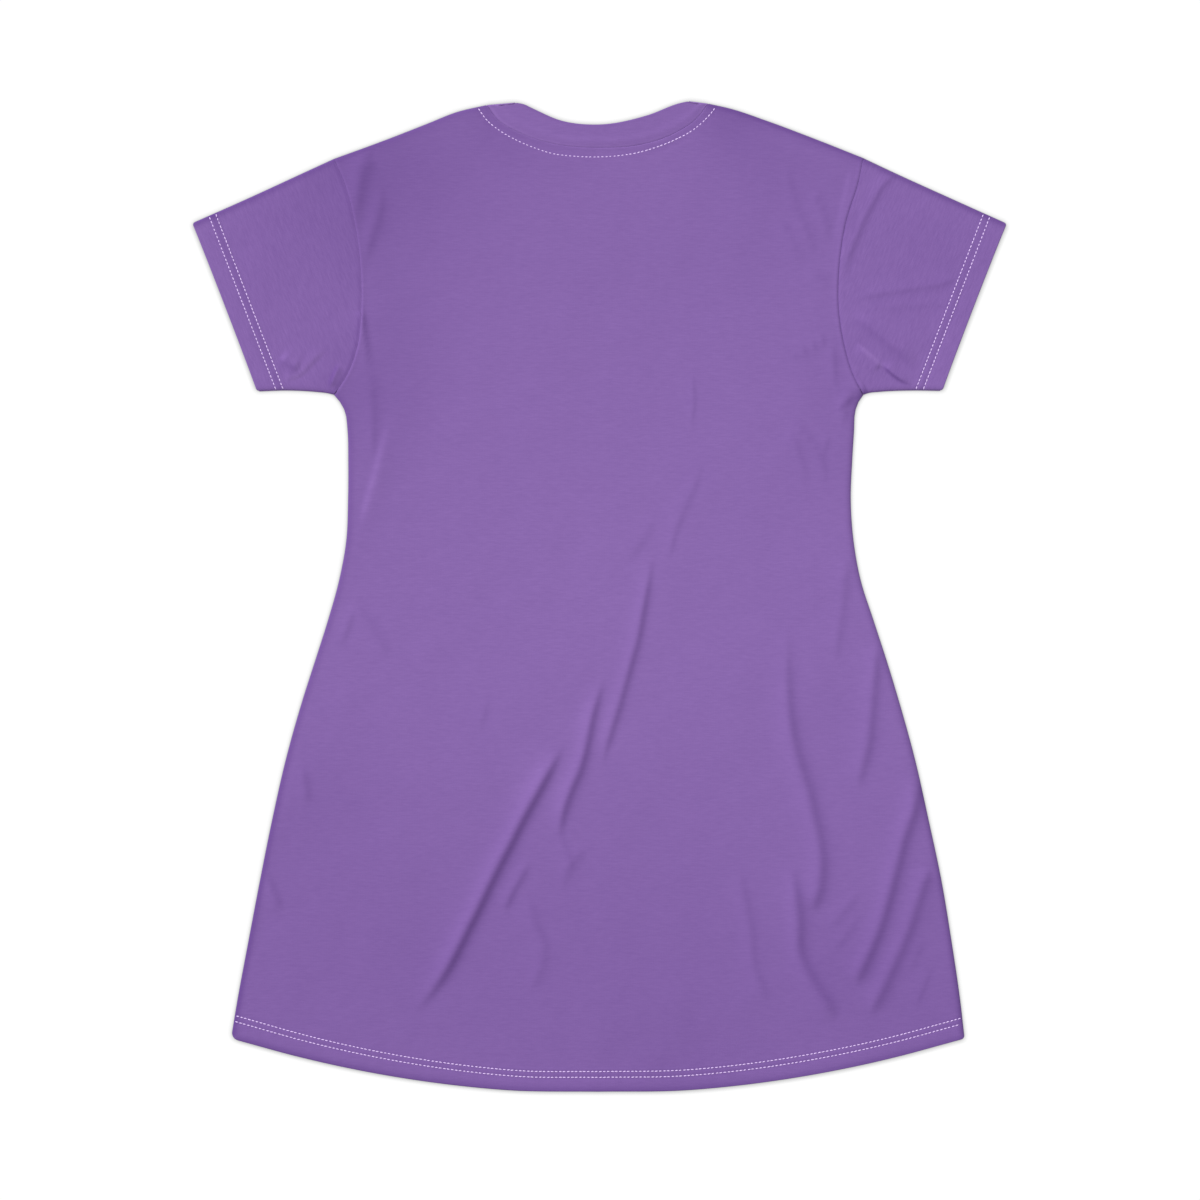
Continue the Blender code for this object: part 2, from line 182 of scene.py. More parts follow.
# Creases in the upper layer. Each route follows the line where the cloth steps down, to the left of
# someone who walks along it. drop is the height of the step (below 0 it steps up), width its half
# width, spread the half width of the long slopes on both sides, and grow and fade are the shares of
# the route over which it deepens and dies away.
CREASES = table(
    "route drop width spread grow fade",
    # the long diagonal from the waist to the hem
    (((-31, -136), (-46, -164), (-58, -186), (-69, -206), (-79, -226), (-89, -245), (-99, -265),
     (-109, -286), (-119, -306), (-129, -326), (-140, -346), (-154, -366), (-174, -388)),
     5.9, 4.9, 11, 0.14, 0.26),
    # the two bends above it
    (((51, 42), (45, 5), (41, -17), (37, -39), (31, -60), (25, -82), (18, -106), (7, -142), (3, -158)),
     2.9, 3.7, 9, 0.26, 0.18),
    (((6, -73), (-5, -112), (-10, -137), (-16, -159), (-25, -180), (-32, -201), (-36, -228)),
     4.4, 4.4, 9, 0.26, 0.24),
    (((-36, -216), (-32, -227), (-26, -243), (-24, -256)), 0.8, 3, 7, 0.3, 0.4),
    (((-8, -230), (-26, -250), (-32, -272)), 1.3, 4.6, 9, 0.3, 0.3),
    # short ones about them
    (((87, 210), (87, 194), (88, 180), (85, 154)), 0.6, 2, 6, 0.3, 0.3),
    (((97, 126), (90, 104), (80, 82), (72, 62), (64, 32)), 0.8, 2.8, 10, 0.3, 0.2),
    (((54, 76), (46, 59), (33, 40), (24, 30)), 0.7, 3, 9, 0.3, 0.3),
    (((-62, -243), (-71, -259), (-79, -273), (-87, -291)), 1.8, 3.2, 8, 0.3, 0.2),
    (((-66, -273), (-61, -288), (-55, -305), (-49, -321), (-50, -336), (-55, -350), (-65, -367)),
     1.2, 4.8, 10, 0.2, 0.2),
    (((-102, -93), (-105, -108), (-110, -124)), 0.6, 2.8, 8, 0.4, 0.3),
    # the long pair at the right
    (((177, -18), (175, -45), (175, -68), (176, -90), (178, -113), (182, -136), (188, -158), (195, -180),
     (200, -202), (205, -224), (207, -247), (205, -269), (196, -294)), 4.1, 6.2, 12, 0.42, 0.07),
    (((178, -246), (183, -272), (186, -298), (187, -328), (192, -341), (201, -357), (210, -371),
     (222, -389)), 3.9, 5.8, 11, 0.22, 0.14),
    # the two that run down and inwards from the right side
    (((300, -168), (290, -203), (283, -222), (278, -242), (273, -261), (268, -280), (262, -300),
     (255, -319), (247, -337), (236, -360)), 4.7, 5.8, 11, 0.04, 0.09),
    (((306, -250), (296, -279), (289, -301), (281, -322), (272, -342), (263, -362), (249, -388)),
     3.5, 5.6, 11, 0.08, 0.14),
    (((258, -44), (256, -70), (254, -92), (252, -113), (250, -134), (245, -155), (237, -182)),
     2.8, 5.2, 11, 0.12, 0.24),
    (((242, -272), (226, -290), (211, -307)), 0.8, 3.2, 8, 0.3, 0.3),
    (((243, -292), (228, -312), (216, -328)), 0.6, 3, 8, 0.3, 0.3),
    (((299, -314), (293, -330), (285, -347)), 0.6, 3, 8, 0.3, 0.3),
    (((306, -343), (299, -360), (291, -380)), 0.7, 2.4, 8, 0.3, 0.3),
    (((129, -250), (135, -275), (140, -298), (142, -320), (145, -342), (151, -358), (158, -374)),
     1.4, 4.6, 10, 0.2, 0.12),
    (((232, 42), (228, 13), (226, -10), (222, -36), (219, -62)), 1.2, 4.8, 11, 0.2, 0.2),
    # faint ones on the right of the chest and about the waist
    (((171, 401), (181, 364), (193, 332), (203, 313)), 0.9, 3.2, 8, 0.3, 0.2),
    (((197, 374), (206, 354), (214, 328)), 0.9, 2.6, 7, 0.2, 0.3),
    (((162, 350), (174, 336), (181, 321), (192, 307)), 0.8, 3, 8, 0.3, 0.3),
    (((192, 302), (203, 294), (214, 287)), 0.8, 2.8, 7, 0.3, 0.3),
    (((212, 237), (194, 228), (174, 219)), 1, 2.2, 6, 0.2, 0.3),
    (((231, 394), (224, 362), (216, 326)), -0.8, 3, 8, 0.2, 0.3),
    (((176, 165), (192, 148), (205, 127), (210, 102)), 1, 3.2, 8, 0.2, 0.3),
    (((173, 158), (183, 138), (190, 115), (196, 102)), 0.8, 3.2, 8, 0.3, 0.3),
    (((213, 148), (209, 138), (206, 127)), 0.7, 2.8, 7, 0.3, 0.4),
    # about the left armhole and side
    (((-191, 172), (-200, 140), (-207, 112), (-214, 88), (-221, 64)), -1.8, 4.2, 10, 0.5, 0.2),
    (((-226, 0), (-212, -22), (-199, -42), (-188, -60)), 1.1, 4.2, 11, 0.3, 0.3),
    (((-224, -10), (-230, -28), (-237, -48)), 0.8, 3, 8, 0.3, 0.3),
    (((-306, -251), (-299, -270), (-290, -290)), 1.2, 2.8, 8, 0.2, 0.3),
    (((-273, -156), (-268, -176), (-267, -193)), 1.3, 3.4, 9, 0.3, 0.3),
    (((-208, 405), (-215, 390), (-218, 374), (-220, 356), (-221, 336)), 3.6, 6.6, 12, 0.1, 0.5),
    (((-197, 376), (-202, 347), (-209, 326), (-215, 303)), 1.8, 4.6, 10, 0.25, 0.3),
    (((-217, 264), (-215.5, 248), (-213.5, 232), (-209, 206)), 1.9, 2.4, 7, 0.1, 0.5),
    (((-212, 226), (-208, 195), (-206, 118)), 1.1, 4, 9, 0.3, 0.3),
    (((-249.5, 190), (-247, 199), (-240, 215)), 3, 2.2, 6, 0.3, 0.3),
    (((-276, 206.5), (-285, 211), (-296, 219)), 3, 4.6, 10, 0.3, 0.3),
    (((-291, 198), (-275, 204), (-261, 218), (-250, 228)), -1.8, 3, 8, 0.2, 0.3),
    # the right sleeve and underarm
    (((275, 389), (263.5, 379), (255, 366), (246, 348), (237, 328), (231, 312), (226, 288)),
     1.2, 3, 10, 0.05, 0.3),
    (((329, 291), (315, 286), (295, 282.5), (264, 278), (236, 272)), 0.8, 3.2, 9, 0.05, 0.2),
    (((325, 268), (300, 266), (268, 264), (242, 260)), 0.4, 3.6, 9, 0.3, 0.4),
    (((291, 194), (281, 196.5), (270.5, 203), (259, 213.5)), 2.6, 1.7, 7, 0.55, 0.25),
    (((260, 211), (254, 218), (246, 225), (236, 234)), -2.1, 1.9, 7, 0.15, 0.4),
    (((290, 206), (276, 222), (258, 237), (240, 251), (229, 259)), 2.4, 5, 12, 0.3, 0.3),
    (((247, 190), (238, 184), (229, 179), (219, 172)), 2.8, 3, 9, 0.05, 0.3),
    (((231, 174), (227, 166), (222, 158)), 0.9, 2.4, 7, 0.2, 0.4),
    (((238, 186), (226, 189), (214, 188)), 0.9, 3, 8, 0.2, 0.5),
    (((216, 232), (217, 212), (218, 190)), 1, 3.2, 8, 0.2, 0.2),
)
CREST_SHARE = 0.26  # the cloth beside a step is raised by this share of it, so that its foot stays clear
TIP_WIDTH = 0.6  # width of a crease's tips as a share of its middle
CREASE_REACH = 3.2  # a crease ends at this many times its spread
CREASE_SHADE = 0.5  # how much darker the cloth looks on a slope of 1
RELIEF_LOW = -1.45  # lowest that creases and waves may bring the upper layer
RIM_CALM = 12.0  # creases and waves die away over this distance from a joined rim

# Slow waves over the whole dress: wavelength, heading in degrees, height, phase
WAVES = table(
    "length heading height phase",
    (310, 22, 0.16, 0.4), (205, -31, 0.12, 2.1), (133, 74, 0.09, 4), (87, 8, 0.07, 1.2),
    (61, 118, 0.045, 5.3), (43, 41, 0.03, 3.1), (29, -17, 0.02, 0.9),
)

# Painted shade over soft round areas, painted light where change is below 0: middle of each area, its reach
# and how much darker it is
PAINTED_SHADE_AREAS = table(
    "across up reach change",
    (-235, 395, 65, 0.18), (-155, 395, 70, 0.14), (-215, 320, 50, 0.07), (-305, 355, 50, 0.06),
    (125, 300, 70, 0.03), (-105, 442, 24, 0.06), (115, 440, 30, 0.13), (180, 400, 80, 0.1),
    (-170, 265, 70, 0.06), (-218, 180, 60, 0.14), (235, 205, 55, 0.07), (312, 310, 72, 0.1),
    (-300, 280, 70, 0.07), (-285, -180, 80, 0.06), (275, -370, 90, 0.04), (190, -260, 80, -0.03),
    (0, 350, 120, 0.04), (0, 20, 95, -0.03), (-52, -172, 28, -0.07), (-2, -118, 24, -0.07),
    (221, -334, 32, 0.04), (225, -110, 35, 0.035), (-165, -334, 35, 0.03), (212, 128, 42, 0.04),
    (75, -448, 70, 0.06), (-32, 418, 26, 0.05), (140, 425, 30, 0.04), (-190, 245, 34, 0.03),
    (-78, 424, 32, 0.09), (-235, 60, 30, 0.04), (-240, 70, 60, 0.02),
)
# Painted shade: the skirt is painted darker towards the hem.
HEM_SHADE = 0.13  # down the skirt, from HEM_SHADE_TOP over HEM_SHADE_LENGTH
HEM_SHADE_TOP, HEM_SHADE_LENGTH = -60.0, 310.0
# Painted shade along the grooves of the stitch lines.
DITCH_SHADE = 0.10
RIM_REACH, RIM_POWER = 4.4, 2.4
# Painted shade where the cloth rolls under along each rim of SEWN_RIMS: how much darker, at its start and
# end, and along the hem
RIM_SHADES = (
    (0.51, 0.25), (0.29, 0.10), (0.32, 0.30), (0.43, 0.40), (0.36, 0.48), (0.44, 0.45), (0.06, 0.06),
    (0.06, 0.06),
)
HEM_RIM_SHADE = (0.29, 0.29)
# The body's edge stands a little above the sleeve's along the armhole seams. Painted shade in the seam:
# how dark, by the share of the way up from the underarm, and how far to the left it is darkest.
SEAM_WIDTH = 1.1
SEAM_RIDGE = 0.2
RIDGE_ASIDE, RIDGE_WIDTH = 2.0, 1.4
SEAM_DEPTH = {LEFT: 0.14, RIGHT: 0.26}
SEAM_EASE = {LEFT: 0.0, RIGHT: 0.5}  # how much shallower the seam is towards the shoulder
SEAM_SHARES = (0.0, 0.3, 0.42, 0.75, 0.92, 1.0)
SEAM_SHADES = {LEFT: (0.17, 0.20, 0.08, 0.09, 0.16, 0.18), RIGHT: (0.14, 0.18, 0.14, 0.17, 0.05, 0.0)}
SEAM_ASIDE = {LEFT: 1.6, RIGHT: 0.2}
SEAM_SPREAD = {LEFT: 1.7, RIGHT: 0.9}
# Painted highlight beside the seam.
SEAM_HIGHLIGHT = {LEFT: 0.08, RIGHT: 0.0}
LIGHT_ASIDE, LIGHT_WIDTH = -0.8, 0.9
# Painted shade in the band between the two rows of cuff stitches.
CUFF_SHADES = {LEFT: 0.11, RIGHT: 0.05}  # between the two rows of stitches
# Painted shade beside the neck seam, and a painted highlight on its very edge.
NECK_SHADE, NECK_ASIDE, NECK_SPREAD = 0.055, 2.4, 1.8  # beside the neck seam
NECK_HIGHLIGHT = 0.099  # its very edge is paler

FRONT_CREASE_SHARE = 0.28  # the front keeps shallow creases like those of the back, mirrored
FRONT_CREASE_LIMIT = 0.9
UPPER_CLEAR = 1.2  # where the upper layer lies this much lower, the front stays flat

# ---------------------------------------------------------------- curves


def even(count):
    """Shares 0 to 1 in equal steps."""
    return np.linspace(0.0, 1.0, count + 1)


def smooth(points, shares):
    """Points at the given shares of the length of a smooth curve through the listed ones.

    Between two knots p, q with slopes m, n: (2t^3-3t^2+1) p + (t^3-2t^2+t) m + (3t^2-2t^3) q + (t^3-t^2) n.
    """
    knots = np.array(points, float)
    reach = lengths_along(knots)
    slopes = np.gradient(knots, reach, axis=0)
    at = np.linspace(0.0, reach[-1], 40 * len(knots))
    span = np.clip(np.searchsorted(reach, at, side="right") - 1, 0, len(knots) - 2)
    step = (reach[span + 1] - reach[span])[:, None]
    t = (at - reach[span])[:, None] / step
    fine = (
        (2 * t**3 - 3 * t**2 + 1) * knots[span]
        + (t**3 - 2 * t**2 + t) * step * slopes[span]
        + (3 * t**2 - 2 * t**3) * knots[span + 1]
        + (t**3 - t**2) * step * slopes[span + 1]
    )
    return points_at(fine, np.asarray(shares) * lengths_along(fine)[-1])


def lengths_along(curve):
    """Distance from the curve's start to each of its points."""
    return np.concatenate([[0.0], np.cumsum(np.linalg.norm(np.diff(curve, axis=0), axis=1))])


def points_at(curve, distances):
    """Points of the curve at the given distances from its start, measured along it."""
    length = lengths_along(curve)
    return np.stack([np.interp(distances, length, curve[:, axis]) for axis in range(2)], axis=1)


def shares_along(curve):
    """Share of the curve's length at each of its points."""
    length = lengths_along(curve)
    return length / length[-1]


def unit(vectors):
    """The vectors divided by their lengths."""
    return vectors / np.linalg.norm(vectors, axis=-1)[..., None]


def moved(curve, distance):
    """The curve moved to its left by a distance, square to its heading."""
    heading = unit(np.gradient(curve, axis=0))
    return curve + distance * np.stack([-heading[:, 1], heading[:, 0]], axis=1)


def longer(curve, extra):
    """The curve carried straight on by an extra length at both ends."""
    on = np.linspace(0.05, 1.0, 24)[:, None] * extra
    before = curve[0] + on[::-1] * unit(curve[0] - curve[1])
    after = curve[-1] + on * unit(curve[-1] - curve[-2])
    return np.concatenate([before, curve, after])


def stations(length, first, last, count):
    """Shares of a length: listed distances from its start and from its end, even steps between."""
    low, high = np.array(first) / length, 1 - np.array(last)[::-1] / length
    between = np.linspace(low[-1], high[0], count + 1)[1:-1]
    return np.concatenate([low, between, high])


def smoothstep(t):
    """3t^2 - 2t^3, held at 0 below 0 and at 1 above 1."""
    t = np.clip(t, 0.0, 1.0)
    return t * t * (3 - 2 * t)


def bell(s, middle, width):
    """exp(-((s - middle) / width)^2)."""
    return np.exp(-(((s - middle) / width) ** 2))


def half_turn(count):
    """Angles between 0 and pi in even steps, without the two ends."""
    return np.pi * np.arange(1, count + 1) / (count + 1)


def quarter_round(t):
    """sqrt(1 - (1 - t)^2): the rise of a quarter circle from 0 to 1, then level."""
    t = np.clip(t, 0.0, 1.0)
    return np.sqrt(1 - (1 - t) ** 2)


def beside(x, y, route, reach=None):
    """Signed distance to a route's nearest segment, positive on its left, and the share along it.

    For a segment from a along b, t = clip((p - a).b / b.b, 0, 1) and the offset is p - a - t b.
    Points beyond reach of the route's box are left at a great distance.
    """
    shape = np.shape(x)
    points = np.stack([np.ravel(x), np.ravel(y)], axis=1)
    route = np.asarray(route, float)
    distance = np.full(len(points), 1e6)
    share = np.zeros(len(points))
    near = np.arange(len(points))
    if reach is not None:
        low, high = route.min(0) - reach, route.max(0) + reach
        near = np.flatnonzero(((points > low) & (points < high)).all(axis=1))
    start, along = route[:-1], np.diff(route, axis=0)
    square = (along**2).sum(1)
    length = lengths_along(route)
    for part in np.array_split(near, max(1, len(near) // AT_ONCE)):
        if not len(part):
            continue
        away = points[part][:, None, :] - start[None]
        t = np.clip((away * along).sum(2) / square, 0, 1)
        off = away - t[..., None] * along
        gap = (off**2).sum(2)
        best = gap.argmin(1)
        row = np.arange(len(part))
        ahead, aside = along[best], off[row, best]
        turn = ahead[:, 0] * aside[:, 1] - ahead[:, 1] * aside[:, 0]
        distance[part] = np.sqrt(gap[row, best]) * np.where(turn > 0, 1.0, -1.0)
        share[part] = (length[best] + t[row, best] * np.sqrt(square[best])) / length[-1]
    return distance.reshape(shape), share.reshape(shape)


# ---------------------------------------------------------------- outlines


def seam_line(rows, side, scoop, shares):
    """A side seam or armhole, from its lower end, hollowed inwards by scoop."""
    out = [(side * (row.left if side == LEFT else row.right), row.up) for row in rows]
    line = smooth(out, shares)
    line[:, 0] -= side * scoop * np.sin(np.pi * np.asarray(shares))
    return line


def front_neck(depth, back):
    """A scoop between the ends of the back curve: half of a rounded rectangle, from left to right.

    At a turn a from 0 to pi the share across is (1 - sign(cos a) |cos a|^r) / 2 and the drop is
    depth sin(a)^r.
    """
    left, right = np.array(back[0]), np.array(back[-1])
    turn = np.linspace(0.0, np.pi, SCOOP_SAMPLES + 1)
    share = (1 - np.sign(np.cos(turn)) * np.abs(np.cos(turn)) ** SCOOP_ROUNDNESS) / 2
    drop = depth * np.sin(turn) ** SCOOP_ROUNDNESS
    return left + share[:, None] * (right - left) - np.stack([np.zeros_like(drop), drop], axis=1)


def neck_seam(front, shares):
    """The seam of the neckband, at the back or at the front."""
    points = front_neck(FRONT_NECK_DEPTH + BAND_WIDTH, BACK_NECK_SEAM) if front else BACK_NECK_SEAM
    return smooth(points, shares)


def neck_edge(front, shares):
    """The free edge of the neckband, at the back or at the front."""
    points = front_neck(FRONT_NECK_DEPTH, BACK_NECK_EDGE) if front else BACK_NECK_EDGE
    return smooth(points, shares)


def corner_rise(inside, radius=CORNER_RADIUS):
    """Rise of a round corner, R - sqrt(R^2 - (R - d)^2), at a distance d inside its end."""
    short = radius - np.clip(inside, 0.0, radius)
    return radius - np.sqrt(radius**2 - short**2)


def hem_height(x):
    """Height of the hem at a distance from the middle, before its corners are rounded."""
    half = smooth([(row.out, row.rise) for row in HEM], even(200))
    return HEM_LOW + np.interp(np.abs(x), half[:, 0], half[:, 1])


def panel_sides(front):
    """The left and right edges of a body panel from the hem to the shoulder."""
    scoop = FRONT_ARMHOLE_SCOOP if front else 0.0
    edges = []
    for side in (LEFT, RIGHT):
        armhole = seam_line(ARMHOLES, side, scoop, even(80))
        armhole[:, 0] -= side * SEAM_HALF_GAP
        edges.append(np.concatenate([seam_line(SIDES, side, 0.0, even(160))[:-1], armhole]))
    return edges


def panel_top(front, shares):
    """The panel's top edge: left shoulder, neck and right shoulder."""
    neck = moved(neck_seam(front, even(120)), -SEAM_HALF_GAP)
    line = [smooth(LEFT_SHOULDER, even(40))[:-1], neck, smooth(RIGHT_SHOULDER, even(40))[::-1][1:]]
    line = np.concatenate(line)
    return points_at(line, np.asarray(shares) * lengths_along(line)[-1])


def panel_grid(front, rows, columns):
    """Points over a body panel, one row for each share up it and one column for each across.

    y = hem + v (top - hem); x = left(y) + f (right(y) - left(y)), where f runs smoothly from the
    hem's own share to the share of the top edge's point.
    """
    left, right = panel_sides(front)
    top = panel_top(front, columns)
    v = rows[:, None]
    hem_x = (2 * columns - 1) * HEM[-1].out
    hem = hem_height(hem_x) + corner_rise(HEM[-1].out + hem_x, HEM_CORNERS[LEFT])
    hem += corner_rise(HEM[-1].out - hem_x, HEM_CORNERS[RIGHT])
    y = hem * (1 - v) + top[:, 1] * v

    def across(height):
        """The left edge's distance from the middle at a height, and the width there."""
        low = np.interp(height, left[:, 1], left[:, 0])
        return low, np.interp(height, right[:, 1], right[:, 0]) - low

    low, width = across(top[:, 1])
    share_at_top = (top[:, 0] - low) / width
    blend = smoothstep((v - BLEND_FROM) / BLEND_OVER)
    share = columns * (1 - blend) + share_at_top * blend
    low, width = across(y)
    return low + share * width, y


def patch(start, end, first, last):
    """Grid of points between four edge curves, blended from both pairs less their corners.

    start and end are the first and last rows, first and last the first and last columns.
    """
    along = shares_along(start)[None, :, None]
    across = shares_along(first)[:, None, None]
    corners = (
        (1 - along) * ((1 - across) * start[0] + across * end[0])
        + along * ((1 - across) * start[-1] + across * end[-1])
    )
    rows = (1 - across) * start[None] + across * end[None]
    columns = (1 - along) * first[:, None] + along * last[:, None]
    return rows + columns - corners


def cuff_line(side):
    """The two ends of the sleeve's hem, top and underarm."""
    return np.array([SLEEVE_TOPS[side][-1], SLEEVE_UNDERARMS[side][-1]])


ARMHOLE_SEAMS = {side: seam_line(ARMHOLES, side, 0.0, even(40)) for side in (LEFT, RIGHT)}
ACROSS_HEM = np.linspace(-HEM[-1].out, HEM[-1].out, 221)
HEM_LINE = np.stack([ACROSS_HEM, hem_height(ACROSS_HEM)], axis=1)
SEWN_RIMS = (
    *(seam_line(SIDES, side, 0.0, even(90)) for side in (LEFT, RIGHT)),
    *(smooth(line, even(24)) for line in (LEFT_SHOULDER, RIGHT_SHOULDER)),
    *(smooth(line, even(20)) for line in SLEEVE_TOPS.values()),
    *(smooth(line, even(14)) for line in SLEEVE_UNDERARMS.values()),
)

# ---------------------------------------------------------------- heights


def nearest(x, y, lines, reach):
    """Distance to the nearest of the lines."""
    return np.min([np.abs(beside(x, y, line, reach)[0]) for line in lines], axis=0)


def from_rims(x, y):
    """Distance to the nearest of the edges where the upper and the lower layer are joined."""
    return nearest(x, y, SEWN_RIMS, 40.0)


def steps(x, y):
    """For each crease: offset from its line, width there and depth there."""
    for crease in CREASES:
        route = smooth(crease.route, even(12 * len(crease.route)))
        s, share = beside(x, y, route, CREASE_REACH * crease.spread)
        along = smoothstep(share / crease.grow) * smoothstep((1 - share) / crease.fade)
        yield crease, s, crease.width * (TIP_WIDTH + (1 - TIP_WIDTH) * along), crease.drop * along


def steeper_above(q):
    """q (1.2 - 0.3 tanh q): a step that breaks sharply at its upper side and runs out below."""
    q = np.clip(q, -6, 6)
    return q * (1.2 - 0.3 * np.tanh(q))


def lift(x, y):
    """Height of the creases, in which the cloth climbs slowly, steps down and climbs slowly again.

    At a signed offset s from each line, for a step of half width w, with g as steeper_above:
    drop (tanh(s/spread)/2 - tanh(g(s/w))/2) + c |drop| sech(s/spread)^2.
    """
    height = np.zeros(np.shape(x))
    for crease, s, width, drop in steps(x, y):
        far = np.clip(s / crease.spread, -6, 6)
        height += drop * (np.tanh(far) / 2 - np.tanh(steeper_above(s / width)) / 2)
        height += CREST_SHARE * np.abs(drop) / np.cosh(far) ** 2
    return height


def crease_shade(x, y):
    """Slope of each crease's step, drop / (2 w) sech(g(s/w))^2 with g as steeper_above, summed."""
    slope = np.zeros(np.shape(x))
    for _, s, width, drop in steps(x, y):
        slope += drop / (2 * width) / np.cosh(steeper_above(s / width)) ** 2
    return slope


def waves(x, y):
    """Slow unevenness: the sum of height sin(2 pi (x cos h + y sin h) / length + phase)."""
    height = np.zeros(np.shape(x))
    for wave in WAVES:
        heading = np.radians(wave.heading)
        along = x * np.cos(heading) + y * np.sin(heading)
        bend = 0.35 * np.sin(2 * np.pi * (y - 0.6 * x) / (2.7 * wave.length) + 2 * wave.phase)
        height += wave.height * np.sin(2 * np.pi * (along / wave.length + bend) + wave.phase)
    return height


def hem_share(x, y, depth, edge):
    """1 on the turned hem within depth of an edge and 0 beyond it, with a soft step between."""
    return smoothstep((depth - np.abs(beside(x, y, edge, depth + 6.0)[0])) / 1.6 + 0.5)


def doubled(x, y):
    """1 where the cloth is turned up double, at the hem and at the cuffs."""
    share = hem_share(x, y, HEM_DEPTH, HEM_LINE)
    for side in (LEFT, RIGHT):
        share = np.maximum(share, hem_share(x, y, CUFF_DEPTH, cuff_line(side)))
    return share


def cuff_stitch_line(side, distance):
    """A line at a distance inside the sleeve's hem, from its top fold to its underarm fold."""
    upper, lower = cuff_line(side)
    heading = unit(lower - upper)
    ends = []
    for fold in (SLEEVE_TOPS[side], SLEEVE_UNDERARMS[side]):
        curve = smooth(fold, even(60))[::-1]
        away = curve - upper
        inside = np.abs(heading[0] * away[:, 1] - heading[1] * away[:, 0])
        ends.append([np.interp(distance, inside, curve[:, axis]) for axis in range(2)])
    first, last = ends[0] + STITCH_MARGIN * heading, ends[1] - STITCH_MARGIN * heading
    return first + even(40)[:, None] * (last - first)


def stitch_routes(front):
    """Every stitch line of the back, or of the front, by name."""
    routes = {"hem": []}
    drift = np.interp(ACROSS_HEM, *HEM_STITCH_DRIFT)
    for distance in HEM_STITCHES:
        line = longer(moved(HEM_LINE, (distance + drift)[:, None]), 12.0)
        left, right = panel_sides(front)
        out = np.where(line[:, 0] < 0, -np.interp(line[:, 1], left[:, 1], left[:, 0]),
                       np.interp(line[:, 1], right[:, 1], right[:, 0]))
        routes["hem"].append(line[np.abs(line[:, 0]) < out - STITCH_MARGIN])
    for side, name in ((LEFT, "cuff_left"), (RIGHT, "cuff_right")):
        routes[name] = [cuff_stitch_line(side, distance) for distance in CUFF_STITCHES]
    if front:
        line = moved(neck_seam(True, even(120)), -NECK_STITCH_OFFSET)
        routes["neck"] = [line[4:-4]]
    else:
        routes["neck"] = [smooth(BACK_NECK_STITCHES, even(120))]
    return routes


def ditches(x, y, front):
    """1 on each stitch line, falling away over a millimetre or so on both sides."""
    depth = np.zeros(np.shape(x))
    for routes in stitch_routes(front).values():
        for route in routes:
            s, _ = beside(x, y, route, 8.0)
            depth = np.maximum(depth, bell(s, 0.0, DITCH_WIDTH))
    return depth


def tunnel(x, y):
    """Soft uneven puckers of the turned hem between its edge and its stitches."""
    s, share = beside(x, y, HEM_LINE, 30.0)
    s = np.abs(s)
    beat = np.sin(share * 395.0 + 2.2 * np.sin(share * 51.0)) + 0.6 * np.sin(share * 233.0 + 1.0)
    return PUCKER * beat * bell(s, PUCKER_MIDDLE, PUCKER_WIDTH)


def upper_middle(x, y):
    """Middle height of the upper layer: a quarter round up from the joined rims, creases and waves."""
    rim = from_rims(x, y)
    open_cloth = smoothstep(rim / RIM_CALM)
    base = RIM_MIDDLE + (UPPER_MIDDLE - RIM_MIDDLE) * quarter_round(rim / RIM_ROUND)
    groove = np.zeros(np.shape(x))
    for side, depth in SEAM_DEPTH.items():
        s, share = beside(x, y, ARMHOLE_SEAMS[side], 12.0)
        depth = depth * (1 - SEAM_EASE[side] * smoothstep((share - 0.55) / 0.3))
        groove += depth * bell(s, 0.0, SEAM_WIDTH) - SEAM_RIDGE * bell(side * s, RIDGE_ASIDE, RIDGE_WIDTH)
    relief = np.maximum(lift(x, y) + waves(x, y), RELIEF_LOW)
    return base + relief * open_cloth - groove * smoothstep(rim / 5.0)


def upper_face(x, y, double):
    """Outer face of the upper layer, a little higher where it is turned up double."""
    return upper_middle(x, y) + tunnel(x, y) + CLOTH / 2 * (1 + 0.6 * double)


def lower_middle(x, y):
    """Middle height of the lower layer: on the floor, with shallow hollows, turned up at its rims."""
    rim = from_rims(x, y)
    hollow = np.clip(FRONT_CREASE_SHARE * lift(-x, y), 0.0, FRONT_CREASE_LIMIT)
    hollow = hollow * smoothstep((lift(x, y) + UPPER_CLEAR) / UPPER_CLEAR)
    base = CLOTH / 2 + (LOWER_RIM_MIDDLE - CLOTH / 2) * (1 - np.clip(rim / LOWER_ROUND, 0, 1)) ** 2
    return base + hollow * smoothstep(rim / 14.0)


def outer_face(x, y, front, double):
    """A layer's outer face, which way its cloth lies from there, and how far its stitches pull it in."""
    if front:
        return lower_middle(x, y) - CLOTH / 2, 1, LOWER_DITCH * ditches(x, y, front)
    return upper_face(x, y, double), -1, DITCH * ditches(x, y, front)


# ---------------------------------------------------------------- meshes


def grid_faces(rows, columns, offset=0, flip=False, loop_rows=False, loop_columns=False):
    """Quads between the points of a grid, which may close on itself either way."""
    row = np.arange(rows if loop_rows else rows - 1)[:, None]
    column = np.arange(columns if loop_columns else columns - 1)[None, :]
    next_row, next_column = (row + 1) % rows, (column + 1) % columns
    corners = [row * columns + column, row * columns + next_column]
    corners += [next_row * columns + next_column, next_row * columns + column]
    if flip:
        corners = corners[::-1]
    return np.stack(np.broadcast_arrays(*corners), axis=-1).reshape(-1, 4) + offset


def new_object(name, data):
    """An object in the scene."""
    made = bpy.data.objects.new(name, data)
    bpy.context.scene.collection.objects.link(made)
    return made


